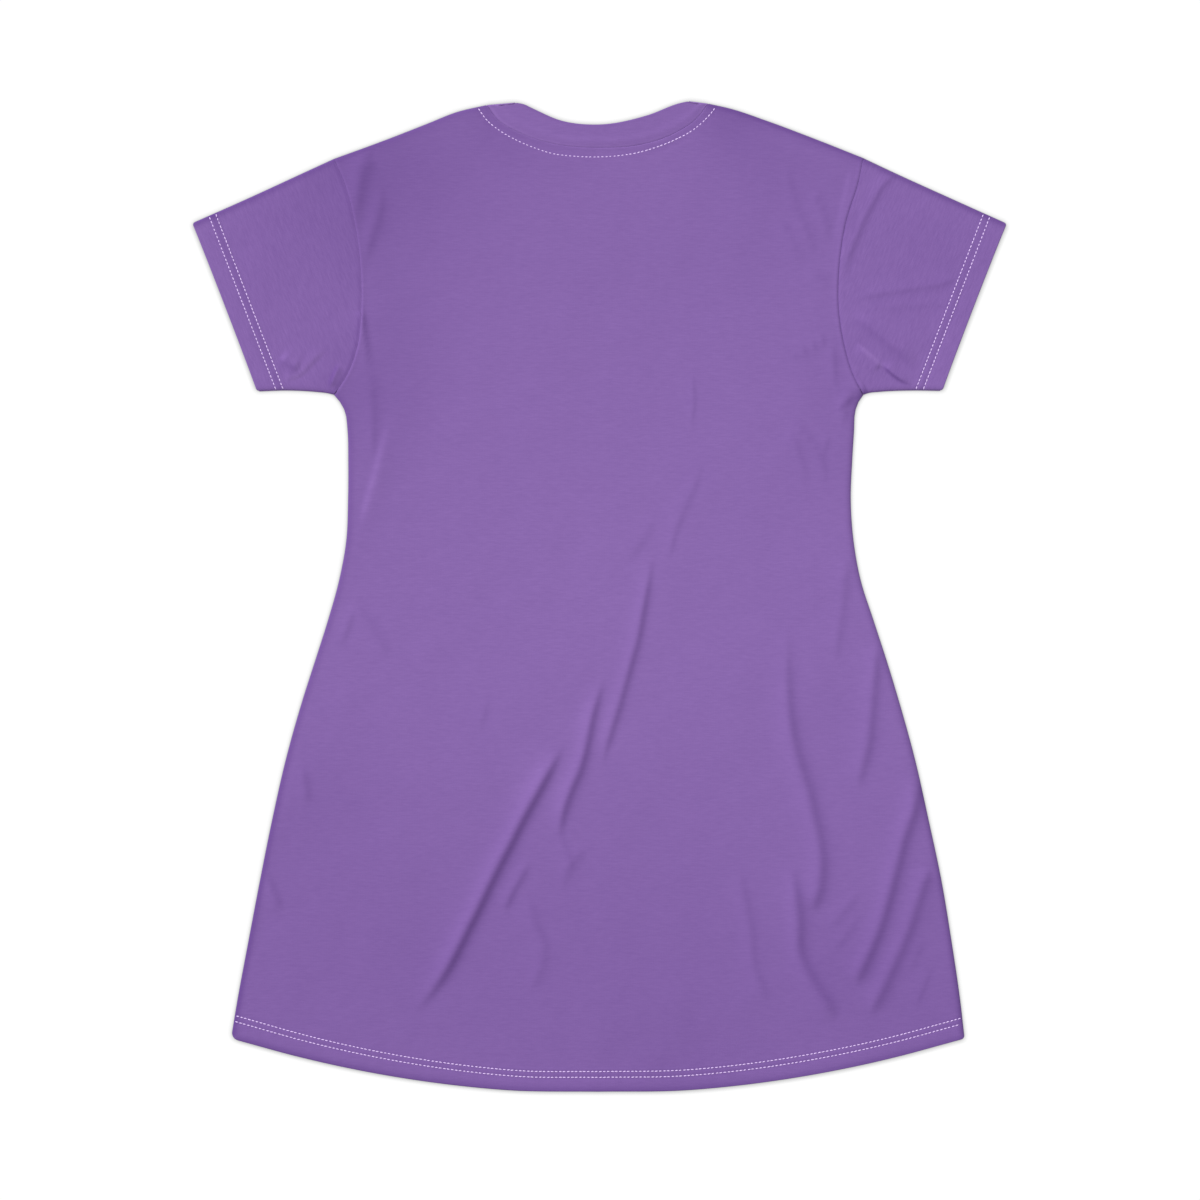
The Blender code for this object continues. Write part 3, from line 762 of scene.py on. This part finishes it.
def make_mesh(name, points, faces, material, tone=None):
    """An object with the given points, in millimetres, and quads; tone, its painted shade and painted light,
    darkens or lightens its cloth.
    """
    mesh = bpy.data.meshes.new(name)
    points = np.ascontiguousarray(points.reshape(-1, 3) * MM, dtype=np.float32)
    mesh.vertices.add(len(points))
    mesh.vertices.foreach_set("co", points.ravel())
    mesh.loops.add(faces.size)
    mesh.loops.foreach_set("vertex_index", faces.ravel().astype(np.int32))
    mesh.polygons.add(len(faces))
    mesh.polygons.foreach_set("loop_start", np.arange(0, faces.size, faces.shape[1], dtype=np.int32))
    mesh.update(calc_edges=True)
    mesh.validate()
    if tone is not None:
        values = mesh.attributes.new("tone", "FLOAT", "POINT").data
        values.foreach_set("value", np.ravel(tone).astype(np.float32))
    mesh.shade_smooth()
    mesh.materials.append(material)
    return new_object(name, mesh)


def painted_cloth_shading(x, y, front):
    """Painted shade and painted light on the cloth by place, 1 in the middle of the back.

    Each area of painted shade takes off change exp(-(d/reach)^2) at a distance d from its middle, with
    painted light where change is below 0. The skirt is painted darker towards the hem, each rim gets
    painted shade exp(-(d/RIM_REACH)^RIM_POWER) where it rolls under, and the crease steps, seams and
    stitching get a little painted shade and painted highlight.
    """
    tone = np.ones(np.shape(x))
    for area in PAINTED_SHADE_AREAS:
        tone -= area.change * np.exp(-(((x - area.across) ** 2 + (y - area.up) ** 2) / area.reach**2))
    tone -= HEM_SHADE * smoothstep((HEM_SHADE_TOP - y) / HEM_SHADE_LENGTH)
    dark = np.zeros(np.shape(x))
    for rim, (start, end) in zip((*SEWN_RIMS, HEM_LINE), (*RIM_SHADES, HEM_RIM_SHADE)):
        s, share = beside(x, y, rim, 20.0)
        fade = start + share * (end - start)
        dark = np.maximum(dark, fade * np.exp(-((np.abs(s) / RIM_REACH) ** RIM_POWER)))
    for side, fades in SEAM_SHADES.items():
        s, share = beside(x, y, ARMHOLE_SEAMS[side], 12.0)
        fade = np.interp(share, SEAM_SHARES, fades)
        dark = np.maximum(dark, fade * bell(s, SEAM_ASIDE[side], SEAM_SPREAD[side]))
        dark = dark - SEAM_HIGHLIGHT[side] * bell(s, LIGHT_ASIDE, LIGHT_WIDTH)
    for side, fade in CUFF_SHADES.items():
        s, _ = beside(x, y, cuff_line(side), 40.0)
        dark = dark + fade * np.exp(-(((np.abs(s) - CUFF_ROWS_MIDDLE) / CUFF_ROWS_WIDTH) ** 4))
    s, _ = beside(x, y, neck_seam(front, even(60)), 12.0)
    dark = dark + NECK_SHADE * bell(np.abs(s), NECK_ASIDE, NECK_SPREAD) - NECK_HIGHLIGHT * bell(s, 0.0, 0.8)
    # Painted shade where a crease steps down, painted light where it steps up.
    if not front:
        dark += CREASE_SHADE * crease_shade(x, y)
    return tone * (1 - dark - DITCH_SHADE * ditches(x, y, front))


def panel_shell(name, front, rows, columns, material):
    """A body panel as a closed thin shell: two faces over one grid that meet along its outline.

    At a distance d inside the outline each face lies t/2 (1 - (1 - d/(EDGE_ROUND t))^2)^(1/2) from the
    middle of the cloth, whose thickness is t.
    """
    x, y = panel_grid(front, rows, columns)
    double = doubled(x, y)
    thick = CLOTH * (1 + double)
    left, right = panel_sides(front)
    edge = nearest(x, y, (panel_top(front, even(160)), HEM_LINE, left, right), 20.0)
    inside = np.zeros(x.shape, bool)
    inside[1:-1, 1:-1] = True
    pinch = thick / 2 * (1 - quarter_round(edge / (thick * EDGE_ROUND)) * inside)
    face, inwards, pull = outer_face(x, y, front, double)
    inner = face + inwards * (thick - pinch)
    outer = np.where(inside, face + inwards * (pinch + pull), inner)
    number = np.arange(x.size).reshape(x.shape)
    number[inside] = x.size + np.arange(inside.sum())
    outer_faces = grid_faces(*x.shape, flip=front)
    inner_faces = number.ravel()[grid_faces(*x.shape, flip=not front)]
    faces = np.concatenate([outer_faces, inner_faces])
    points = np.concatenate([np.dstack([x, y, outer]).reshape(-1, 3), np.dstack([x, y, inner])[inside]])
    tone = painted_cloth_shading(x, y, front)
    return make_mesh(name, points, faces, material, np.concatenate([tone.ravel(), tone[inside]]))


def sleeve_layers(side, across, along):
    """The sleeve's upper and lower outer faces in plan, from the top fold to the underarm fold."""
    top_length = lengths_along(smooth(SLEEVE_TOPS[side], even(40)))[-1]
    under_length = lengths_along(smooth(SLEEVE_UNDERARMS[side], even(40)))[-1]
    top = smooth(SLEEVE_TOPS[side], along * (1 - CORNER_RADIUS / top_length))
    under = smooth(SLEEVE_UNDERARMS[side], along * (1 - CORNER_RADIUS / under_length))
    ends = cuff_line(side)
    width = np.linalg.norm(ends[1] - ends[0])
    outwards = unit(top[-1] - top[-2])
    hem = ends[0] + across[:, None] * (ends[1] - ends[0])
    inwards = corner_rise(np.minimum(across, 1 - across) * width)
    inwards = inwards + CUFF_BOW[side] * np.sin(np.pi * across) ** 0.5
    hem = hem - inwards[:, None] * outwards
    hem[0], hem[-1] = top[-1], under[-1]
    layers = []
    for scoop in (0.0, FRONT_ARMHOLE_SCOOP):
        armhole = seam_line(ARMHOLES, side, scoop, 1 - across)
        armhole[:, 0] += side * SEAM_HALF_GAP
        armhole[0], armhole[-1] = top[0], under[0]
        layers.append(patch(top, under, armhole, hem))
    return layers


def sleeve_shell(name, side, material):
    """A sleeve as a closed ring of cloth: outer face, cuff rim, inner face and armhole rim.

    Rows run once round the flattened tube and columns along it and back inside. At a distance d from
    a fold the outer face stands (1 - (1 - d/r)^2)^(1/2) of the way from FOLD_HEIGHT to its level, with
    r as FOLD_ROUND above and LOWER_ROUND below. The rims are half circles.
    """
    edge_insets = (0, 0.12, 0.5, 1.1, 2.0, 3.2, 4.8)
    cuff_insets = (0, 0.5, 1.5, 3, 5, 8, 11, 13.5, 15.2, 16.5, 17.8, 19.7, 21.6, 22.9, 24.2, 25.8, 27.5)
    across = stations(SLEEVE_ACROSS, edge_insets, edge_insets, SLEEVE_STEPS[0])
    along = stations(SLEEVE_ALONG, edge_insets, cuff_insets, SLEEVE_STEPS[1])
    outer, inner, tones = [], [], []
    for front, grid in zip((False, True), sleeve_layers(side, across, along)):
        x, y = grid[..., 0], grid[..., 1]
        double = doubled(x, y)
        thick = CLOTH * (1 + double)
        chord = grid[-1] - grid[0]
        fold = np.minimum(across, 1 - across)[:, None] * np.linalg.norm(chord, axis=1)
        rise = quarter_round(fold / (LOWER_ROUND if front else FOLD_ROUND))
        level, inwards, pull = outer_face(x, y, front, double)
        face = FOLD_HEIGHT + (level + inwards * pull - FOLD_HEIGHT) * rise
        roof = face + inwards * thick * rise
        within = grid + (thick * (1 - 2 * across[:, None]))[..., None] * unit(chord)[None]
        outer.append(np.dstack([grid, face]))
        inner.append(np.dstack([within, roof]))
        tones.append(painted_cloth_shading(x, y, front))

    def around(pair):
        """The upper layer's rows, then the lower layer's, back to the first fold."""
        return np.concatenate([pair[0], pair[1][::-1][1:-1]])

    outer, inner, tones = around(outer), around(inner), around(tones)
    middle = (outer + inner) / 2

    def bulge(column, neighbour, reach, count):
        """Half circles from the outer to the inner edge, reaching away from the cloth."""
        away = unit((outer[:, column] - outer[:, neighbour]) * [1, 1, 0])
        turn = half_turn(count)[None, :, None]
        spoke = (outer - middle)[:, column, None]
        return middle[:, column, None] + spoke * np.cos(turn) + reach * away[:, None] * np.sin(turn)

    cuff = bulge(-1, -3, CUFF_BULGE, 5)
    armhole = bulge(0, 2, ARMHOLE_BULGE, 3)[:, ::-1]
    columns = np.concatenate([outer, cuff, inner[:, ::-1], armhole], axis=1)
    cuff_tones, armhole_tones = tones[:, [-1] * cuff.shape[1]], tones[:, [0] * armhole.shape[1]]
    tone = np.concatenate([tones, cuff_tones, tones[:, ::-1], armhole_tones], axis=1)
    rows, count = columns.shape[:2]
    faces = grid_faces(rows, count, flip=side == RIGHT, loop_rows=True, loop_columns=True)
    return make_mesh(name, columns, faces, material, tone)


def band_ring(name, material):
    """The neckband: a doubled strip with a round free edge, carried round the neck and turned over.

    Its middle line runs along the back, over at the right shoulder, along the front and back over at
    the left one. At a distance d from the fold its half thickness is T/2 (1 - (1 - d/r)^2)^(1/2),
    with r as BAND_FOLD_ROUND, and T/2 beyond r, and it thins out towards the seam.
    """
    fold_insets, seam_insets = (0, 0.05, 0.2, 0.45, 0.8, 1.4, 2.2), (0, 0.12, 0.4, 0.8, 1.3, 2.0, 3.0)
    width_shares = stations(BAND_WIDTH, fold_insets, seam_insets, BAND_STEPS)
    turns = half_turn(BAND_TURNS)
    middles = []
    distance = width_shares * BAND_WIDTH
    from_seam = BAND_WIDTH - distance
    half = BAND_THICK / 2 * quarter_round(distance / BAND_FOLD_ROUND) * quarter_round(from_seam / 0.7)
    half = half * (0.6 + 0.4 * smoothstep(from_seam / 5.0))
    half[0] = half[-1] = 0.0
    bend = (BAND_UPPER_MIDDLE - BAND_LOWER_MIDDLE) / 2
    for front in (False, True):
        count = BAND_SAMPLES[front]
        seam, edge = neck_seam(front, even(count)), neck_edge(front, even(count))
        length = lengths_along(seam)
        near = np.minimum(length, length[-1] - length)[:, None]
        tuck = 0 * near if front else smoothstep((near - 4.0) / 16.0)
        seam = moved(seam, SEAM_HALF_GAP - TUCKED_UNDER * tuck)
        share = width_shares[None, :, None]
        grid = (1 - share) * edge[:, None] + share * seam[:, None]
        grid[..., 1] -= (bend + half) * (1 - smoothstep(near / 2.5))
        x, y = grid[..., 0], grid[..., 1]
        if front:
            height = BAND_LOWER_MIDDLE + 0 * x
        else:
            relief = waves(x, y) * smoothstep(from_rims(x, y) / RIM_CALM)
            relief = relief + BAND_SWELL * bell(from_seam, SWELL_MIDDLE, SWELL_WIDTH)
            relief = relief * np.sin(np.pi * even(count))[:, None] ** 0.15
            height = BAND_UPPER_MIDDLE + relief - TUCKED_DOWN * tuck * (1 - smoothstep(from_seam / 1.6))
        middles.append(np.dstack([grid, height]))
    back, front = middles
    front = front[::-1]
    out, up = np.eye(3)[1:]

    def turn_over(start, end, first_side):
        """Half circles from one cross line to another, and the way out of the cloth on each."""
        centre, spoke = (start + end) / 2, (start - end) / 2
        lines = [centre + spoke * np.cos(a) + bend * out * np.sin(a) for a in turns]
        return lines, [first_side * up * np.cos(a) + out * np.sin(a) for a in turns]

    right_lines, right_ways = turn_over(back[-1], front[0], 1)
    left_lines, left_ways = turn_over(front[-1], back[0], -1)
    middle = np.concatenate([back, right_lines, front, left_lines])
    normal = np.concatenate([[up] * len(back), right_ways, [-up] * len(front), left_ways])
    out_by = half[None, :, None] * normal[:, None]
    outer, inner = middle + out_by, middle - out_by
    section = np.concatenate([outer, inner[:, ::-1][:, 1:-1]], axis=1)
    rows, count = section.shape[:2]
    faces = grid_faces(rows, count, flip=True, loop_rows=True, loop_columns=True)
    from_seam = BAND_WIDTH - np.concatenate([distance, distance[::-1][1:-1]])
    # Painted highlight along the seam, stronger on the left, then painted shade at the rolled fold and
    # painted highlights on the band.
    left, right = BAND_SEAM_HIGHLIGHT
    paler = left + (right - left) * smoothstep((section[:, :, 0] + 70.0) / 140.0)
    tone = BAND_TONE + paler * bell(from_seam, 0.0, 2.6)
    for row in BAND_SHADING:
        tone += row.change * bell(from_seam, row.away, row.width)
    return make_mesh(name, section, faces, material, tone)


def stitches(name, routes, front, material):
    """Short threads along each route, set on the face of the cloth below.

    At a share a of a thread's length its half width and half height are those of its middle times
    sin(pi a)^(1/2). Each thread is a little longer or shorter and leans its own way.
    """
    rings = np.array([0.0, 0.1, 0.3, 0.5, 0.7, 0.9, 1.0])
    round_share = np.sqrt(np.sin(np.pi * np.clip(rings, 0.0, 1.0)).clip(0.0))
    round_share[[0, -1]] = 0.25
    turn = np.pi / 3 * np.arange(6)
    centres, headings = [], []
    for route in routes:
        length = lengths_along(route)[-1]
        count = int(length // STITCH_PITCH)
        at = (np.arange(count) + 0.5) * length / count
        at += STITCH_WANDER * np.sin(2.4 * np.arange(count))
        here, ahead = points_at(route, at), points_at(route, at + 0.5)
        centres.append(here)
        headings.append(unit(ahead - here))
    centre, heading = np.concatenate(centres), np.concatenate(headings)
    aside = np.stack([-heading[:, 1], heading[:, 0]], axis=1)
    serial = np.arange(len(centre))
    stretch = 1 + 0.07 * np.sin(1.7 * serial) + 0.05 * np.sin(0.61 * serial + 1)
    lean = 0.09 * np.sin(0.9 * serial) + 0.03
    forward = ((rings - 0.5) * STITCH_LENGTH)[None, :, None] * stretch[:, None, None]
    sideways = (round_share[:, None] * np.cos(turn) * STITCH_WIDTH / 2)[None] + lean[:, None, None] * forward
    upward = (round_share[:, None] * np.sin(turn) * STITCH_HEIGHT / 2)[None]
    forward, sideways = np.broadcast_arrays(forward, sideways)
    flat = centre[:, None, None] + forward[..., None] * heading[:, None, None]
    flat = flat + sideways[..., None] * aside[:, None, None]
    x, y = flat[..., 0], flat[..., 1]
    sink = (STITCH_SINK * np.abs(2 * rings - 1) ** 3)[None, :, None]
    if front:
        face = STITCH_HEIGHT / 2 + STITCH_FLOOR_GAP + sink
    else:
        face = upper_face(x, y, doubled(x, y)) - DITCH + STITCH_PROUD - sink
    points = np.stack(np.broadcast_arrays(x, y, face + upward), axis=-1)
    per = len(rings) * len(turn)
    tube = grid_faces(len(rings), len(turn), loop_columns=True)
    first = np.array([[0, 5, 4, 3], [0, 3, 2, 1]])
    last = (len(rings) - 1) * len(turn) + np.array([[0, 1, 2, 3], [0, 3, 4, 5]])
    one = np.concatenate([tube[:, ::-1], first[:, ::-1], last[:, ::-1]])
    faces = (one[None] + (np.arange(len(centre)) * per)[:, None, None]).reshape(-1, 4)
    return make_mesh(name, points, faces, material)


# ---------------------------------------------------------------- materials

JERSEY_COLOUR = (0.2155, 0.1157, 0.3624)
# DEEP_COLOUR is what the jersey is mixed towards by its painted shade and its random mottling.
DEEP_COLOUR = (0.038, 0.0, 0.13)  # what is left of it in the deepest tone
THREAD_COLOUR = (0.78, 0.575, 0.97)
TONE_SPREAD = 0.10
# Noises of the jersey: share in its tone, detail, scale and stretch against the grain
NOISES = table(
    "kind weight detail scale stretch",
    ("streaks", 0.46, 2.0, 1.0, (150.0, 900.0, 150.0)), ("slubs", 0.20, 3.0, 1.0, (70.0, 520.0, 70.0)),
    ("mottle", 0.10, 3.0, 30.0, (1.0, 1.0, 1.0)), ("fuzz", 0.24, 1.0, 1500.0, (1.0, 1.0, 1.0)),
)
RIBS = table("across scale distortion", ("X", 210.0, 1.5), ("Y", 260.0, 2.0))
KNIT_SHARE = 0.6  # of the ribs in the relief, beside the streaks
# Reach of the floor's painted contact shadow.
FLOOR_SHADE = 0.005  # metres from the cloth to where the floor is no longer darker


def node(tree, kind, settings=(), **inputs):
    """A shader node with its properties and inputs set; a tuple of (node, output) is linked.

    An input is called by its name, or by _ and its number.
    """
    made = tree.nodes.new("ShaderNode" + kind)
    for key, value in dict(settings).items():
        setattr(made, key, value)
    for key, value in inputs.items():
        socket = made.inputs[int(key[1:])] if key[0] == "_" and key[1:].isdigit() else made.inputs[key]
        if isinstance(value, tuple) and len(value) == 2 and isinstance(value[0], bpy.types.Node):
            tree.links.new(value[0].outputs[value[1]], socket)
        else:
            socket.default_value = value
    return made


def calc(tree, operation, first, second):
    """One sum or product of two values or linked outputs."""
    return node(tree, "Math", {"operation": operation}, _0=first, _1=second)


def blank_material(name, **settings):
    """A material, its node tree and its shader, with settings of the shader by name, _ for a space."""
    material = bpy.data.materials.new(name)
    material.use_nodes = True
    tree = material.node_tree
    shader = tree.nodes["Principled BSDF"]
    for key, value in settings.items():
        shader.inputs[key.replace("_", " ")].default_value = value
    return material, tree, shader


def jersey(name, turn, contrast=1.0):
    """Cotton jersey: fine ribs of the knit, short uneven streaks along the courses, slow mottling.

    turn is the angle, in degrees, of the courses to the X axis, contrast that of the streaks.
    """
    material, tree, shader = blank_material(
        name, Sheen_Weight=0.12, Sheen_Roughness=0.45, Sheen_Tint=(0.85, 0.75, 1.0, 1.0),
        Specular_IOR_Level=0.25,
    )
    place = node(tree, "TexCoord")
    grain = node(tree, "Mapping", Vector=(place, "Object"), Rotation=(0, 0, np.radians(-turn)))
    noise, total = {}, 0.0
    for row in NOISES:
        spot = node(tree, "Mapping", Vector=(grain, "Vector"), Scale=row.stretch)
        made = node(tree, "TexNoise", Vector=(spot, "Vector"), Scale=row.scale, Detail=row.detail)
        part = calc(tree, "MULTIPLY", (made, "Fac"), row.weight)
        total = (calc(tree, "ADD", total, (part, 0)), 0)
        noise[row.kind] = (made, "Fac")
    low, high = 1 - contrast * TONE_SPREAD, 1 + contrast * TONE_SPREAD
    factor = node(tree, "MapRange", _0=total, _1=0.3, _2=0.7, _3=low, _4=high)
    # The tone attribute carries each mesh's painted shade and painted light.
    tone = node(tree, "Attribute", {"attribute_name": "tone"})
    factor = calc(tree, "MULTIPLY", (factor, 0), (tone, "Fac"))
    lighter = tuple(c - d for c, d in zip(JERSEY_COLOUR, DEEP_COLOUR))
    scaled = node(tree, "VectorMath", {"operation": "SCALE"}, _0=lighter, Scale=(factor, 0))
    dyed = node(tree, "VectorMath", {"operation": "ADD"}, _0=(scaled, 0), _1=DEEP_COLOUR)
    tree.links.new(dyed.outputs[0], shader.inputs["Base Color"])
    knit = KNIT_SHARE
    for row in RIBS:
        settings = {"bands_direction": row.across, "wave_profile": "SIN"}
        ribs = node(tree, "TexWave", settings, Vector=(grain, "Vector"), Scale=row.scale,
                    Distortion=row.distortion, Detail=1.0)
        knit = (calc(tree, "MULTIPLY", knit, (ribs, "Fac")), 0)
    relief = calc(tree, "ADD", knit, noise["streaks"])
    bump = node(tree, "Bump", Height=(relief, 0), Distance=0.00012, Strength=0.45)
    tree.links.new(bump.outputs["Normal"], shader.inputs["Normal"])
    rough = node(tree, "MapRange", _0=noise["fuzz"], _1=0.0, _2=1.0, _3=0.84, _4=0.96)
    tree.links.new(rough.outputs[0], shader.inputs["Roughness"])
    return material


def thread():
    """Pale lilac sewing thread with a fine twist."""
    material, tree, shader = blank_material("thread", Roughness=0.55, Sheen_Weight=0.1)
    place = node(tree, "TexCoord")
    twist = node(
        tree, "TexWave", {"bands_direction": "DIAGONAL"},
        Vector=(place, "Object"), Scale=900.0, Distortion=1.0,
    )
    colour = node(
        tree, "MapRange", {"data_type": "FLOAT_VECTOR"},
        Vector=(twist, "Color"), _9=tuple(0.88 * c for c in THREAD_COLOUR), _10=THREAD_COLOUR,
    )
    tree.links.new(colour.outputs[1], shader.inputs["Base Color"])
    bump = node(tree, "Bump", Height=(twist, "Fac"), Distance=0.00008, Strength=0.5)
    tree.links.new(bump.outputs["Normal"], shader.inputs["Normal"])
    return material


def floor_material():
    """Matt white sheet that glows evenly, so its shadows stay light; close beside the cloth an
    ambient-occlusion node dims the glow, a painted contact shadow.
    """
    material, tree, shader = blank_material(
        "floor_paper", Base_Color=(0.06, 0.06, 0.06, 1.0), Emission_Strength=0.95, Roughness=1.0,
        Specular_IOR_Level=0.0,
    )
    # Painted contact shadow: the glow dims where the cloth is near.
    close = node(tree, "AmbientOcclusion", Distance=FLOOR_SHADE)
    tree.links.new(close.outputs["Color"], shader.inputs["Emission Color"])
    return material


# ---------------------------------------------------------------- the dress


def body_panels():
    """The back and the front; the back shows, so its grid is finer, above all on the skirt."""
    edge_insets = (0, 0.12, 0.35, 0.8, 1.5, 2.5, 3.8, 5.5)
    hem_insets = (0, 0.12, 0.4, 0.9, 1.7, 3, 5, 8, 11)
    hem_insets += (12.8, 13.8, 14.8, 16.5, 18.1, 19.1, 20.1, 21.4, 22.8, 25)
    skirt = stations(BODY_LENGTH, hem_insets, (BODY_LENGTH - SKIRT_LENGTH,), SKIRT_STEPS)
    chest = stations(BODY_LENGTH, (SKIRT_LENGTH,), edge_insets, CHEST_STEPS)
    back_rows = np.concatenate([skirt[:-1], chest])
    back_columns = stations(BODY_WIDTH, edge_insets, edge_insets, BACK_STEPS)
    front_rows = stations(BODY_LENGTH, hem_insets, edge_insets, FRONT_STEPS)
    front_columns = stations(BODY_WIDTH, edge_insets, edge_insets, FRONT_STEPS)
    back = panel_shell("back_body", False, back_rows, back_columns, jersey("jersey_body_back", 0.0))
    front = panel_shell("front_body", True, front_rows, front_columns, jersey("jersey_body_front", 0.0))
    return back, front


def floor_sheet():
    """The floor, a square that lies just under the dress."""
    corners = [(x, y, -FLOOR_GAP) for x, y in ((-1, -1), (1, -1), (1, 1), (-1, 1))]
    corners = [(FLOOR_HALF * x, FLOOR_HALF * y, z) for x, y, z in corners]
    mesh = bpy.data.meshes.new("floor")
    mesh.from_pydata(corners, [], [(0, 1, 2, 3)])
    mesh.materials.append(floor_material())
    floor = new_object("floor", mesh)


def dress():
    """The dress's sheets of cloth and stitches, what each rides on, and the solid that each sheet stands
    for, which is hidden.
    """
    back, front = body_panels()
    left = sleeve_shell("left_sleeve", LEFT, jersey("jersey_sleeve_left", -69.0, 1.5))
    right = sleeve_shell("right_sleeve", RIGHT, jersey("jersey_sleeve_right", 69.0, 1.5))
    band = band_ring("collar_band", jersey("jersey_band", 0.0))

    fibre = thread()
    sewing = {}
    for is_front, end in ((False, "back"), (True, "front")):
        for place, routes in stitch_routes(is_front).items():
            name = f"stitches_{place}_{end}"
            sewing[name] = stitches(name, routes, is_front, fibre)

    pieces = {
        back: ("jersey_body", "back_panel"),
        front: ("jersey_body", "front_panel"),
        left: ("jersey_sleeve", "sleeve_left"),
        right: ("jersey_sleeve", "sleeve_right"),
        band: ("jersey_band", "neckband"),
    }
    for piece, (slot, solid) in pieces.items():
        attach(piece, "root")
        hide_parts(solid)
    for piece in sewing.values():
        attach(piece, "root")


# ---------------------------------------------------------------- light and camera

FLOOR_HALF = 6.0  # metres from the middle of the floor to its sides
FLOOR_GAP = 0.0004  # metres from the dress down to the floor
FRAME_WIDTH = 1.104  # metres across the picture, at the floor
FRAME_CENTRE = (0.0005, -0.0032)
CAMERA_LENS = 200.0
SENSOR_WIDTH = 36.0
SUN_STRENGTH = 3.2
SUN_DIRECTION = (-0.78, 0.70, 0.71)  # towards the sun
SUN_SPREAD = 22.0  # degrees
SKY_STRENGTH = 0.57


def studio():
    """Even pale sky, one soft sun from the upper left, and a camera straight above the dress."""
    scene = bpy.context.scene
    world = bpy.data.worlds.new("studio")
    world.use_nodes = True
    sky = world.node_tree.nodes["Background"]
    sky.inputs["Color"].default_value = (1.0, 1.0, 1.0, 1.0)
    sky.inputs["Strength"].default_value = SKY_STRENGTH
    scene.world = world
    sun = bpy.data.lights.new("key", "SUN")
    sun.energy = SUN_STRENGTH
    sun.angle = np.radians(SUN_SPREAD)
    lamp = new_object("key", sun)
    lamp.rotation_mode = "QUATERNION"
    lamp.rotation_quaternion = Vector(SUN_DIRECTION).to_track_quat("Z", "Y")
    camera_data = bpy.data.cameras.new("camera")
    camera_data.lens = CAMERA_LENS
    camera_data.sensor_width = SENSOR_WIDTH
    distance = FRAME_WIDTH * CAMERA_LENS / SENSOR_WIDTH
    camera_data.clip_end = 4 * distance
    camera = new_object("camera", camera_data)
    camera.location = (*FRAME_CENTRE, distance)
    scene.camera = camera
    scene.view_settings.view_transform = "Standard"


floor_sheet()
dress()
studio()
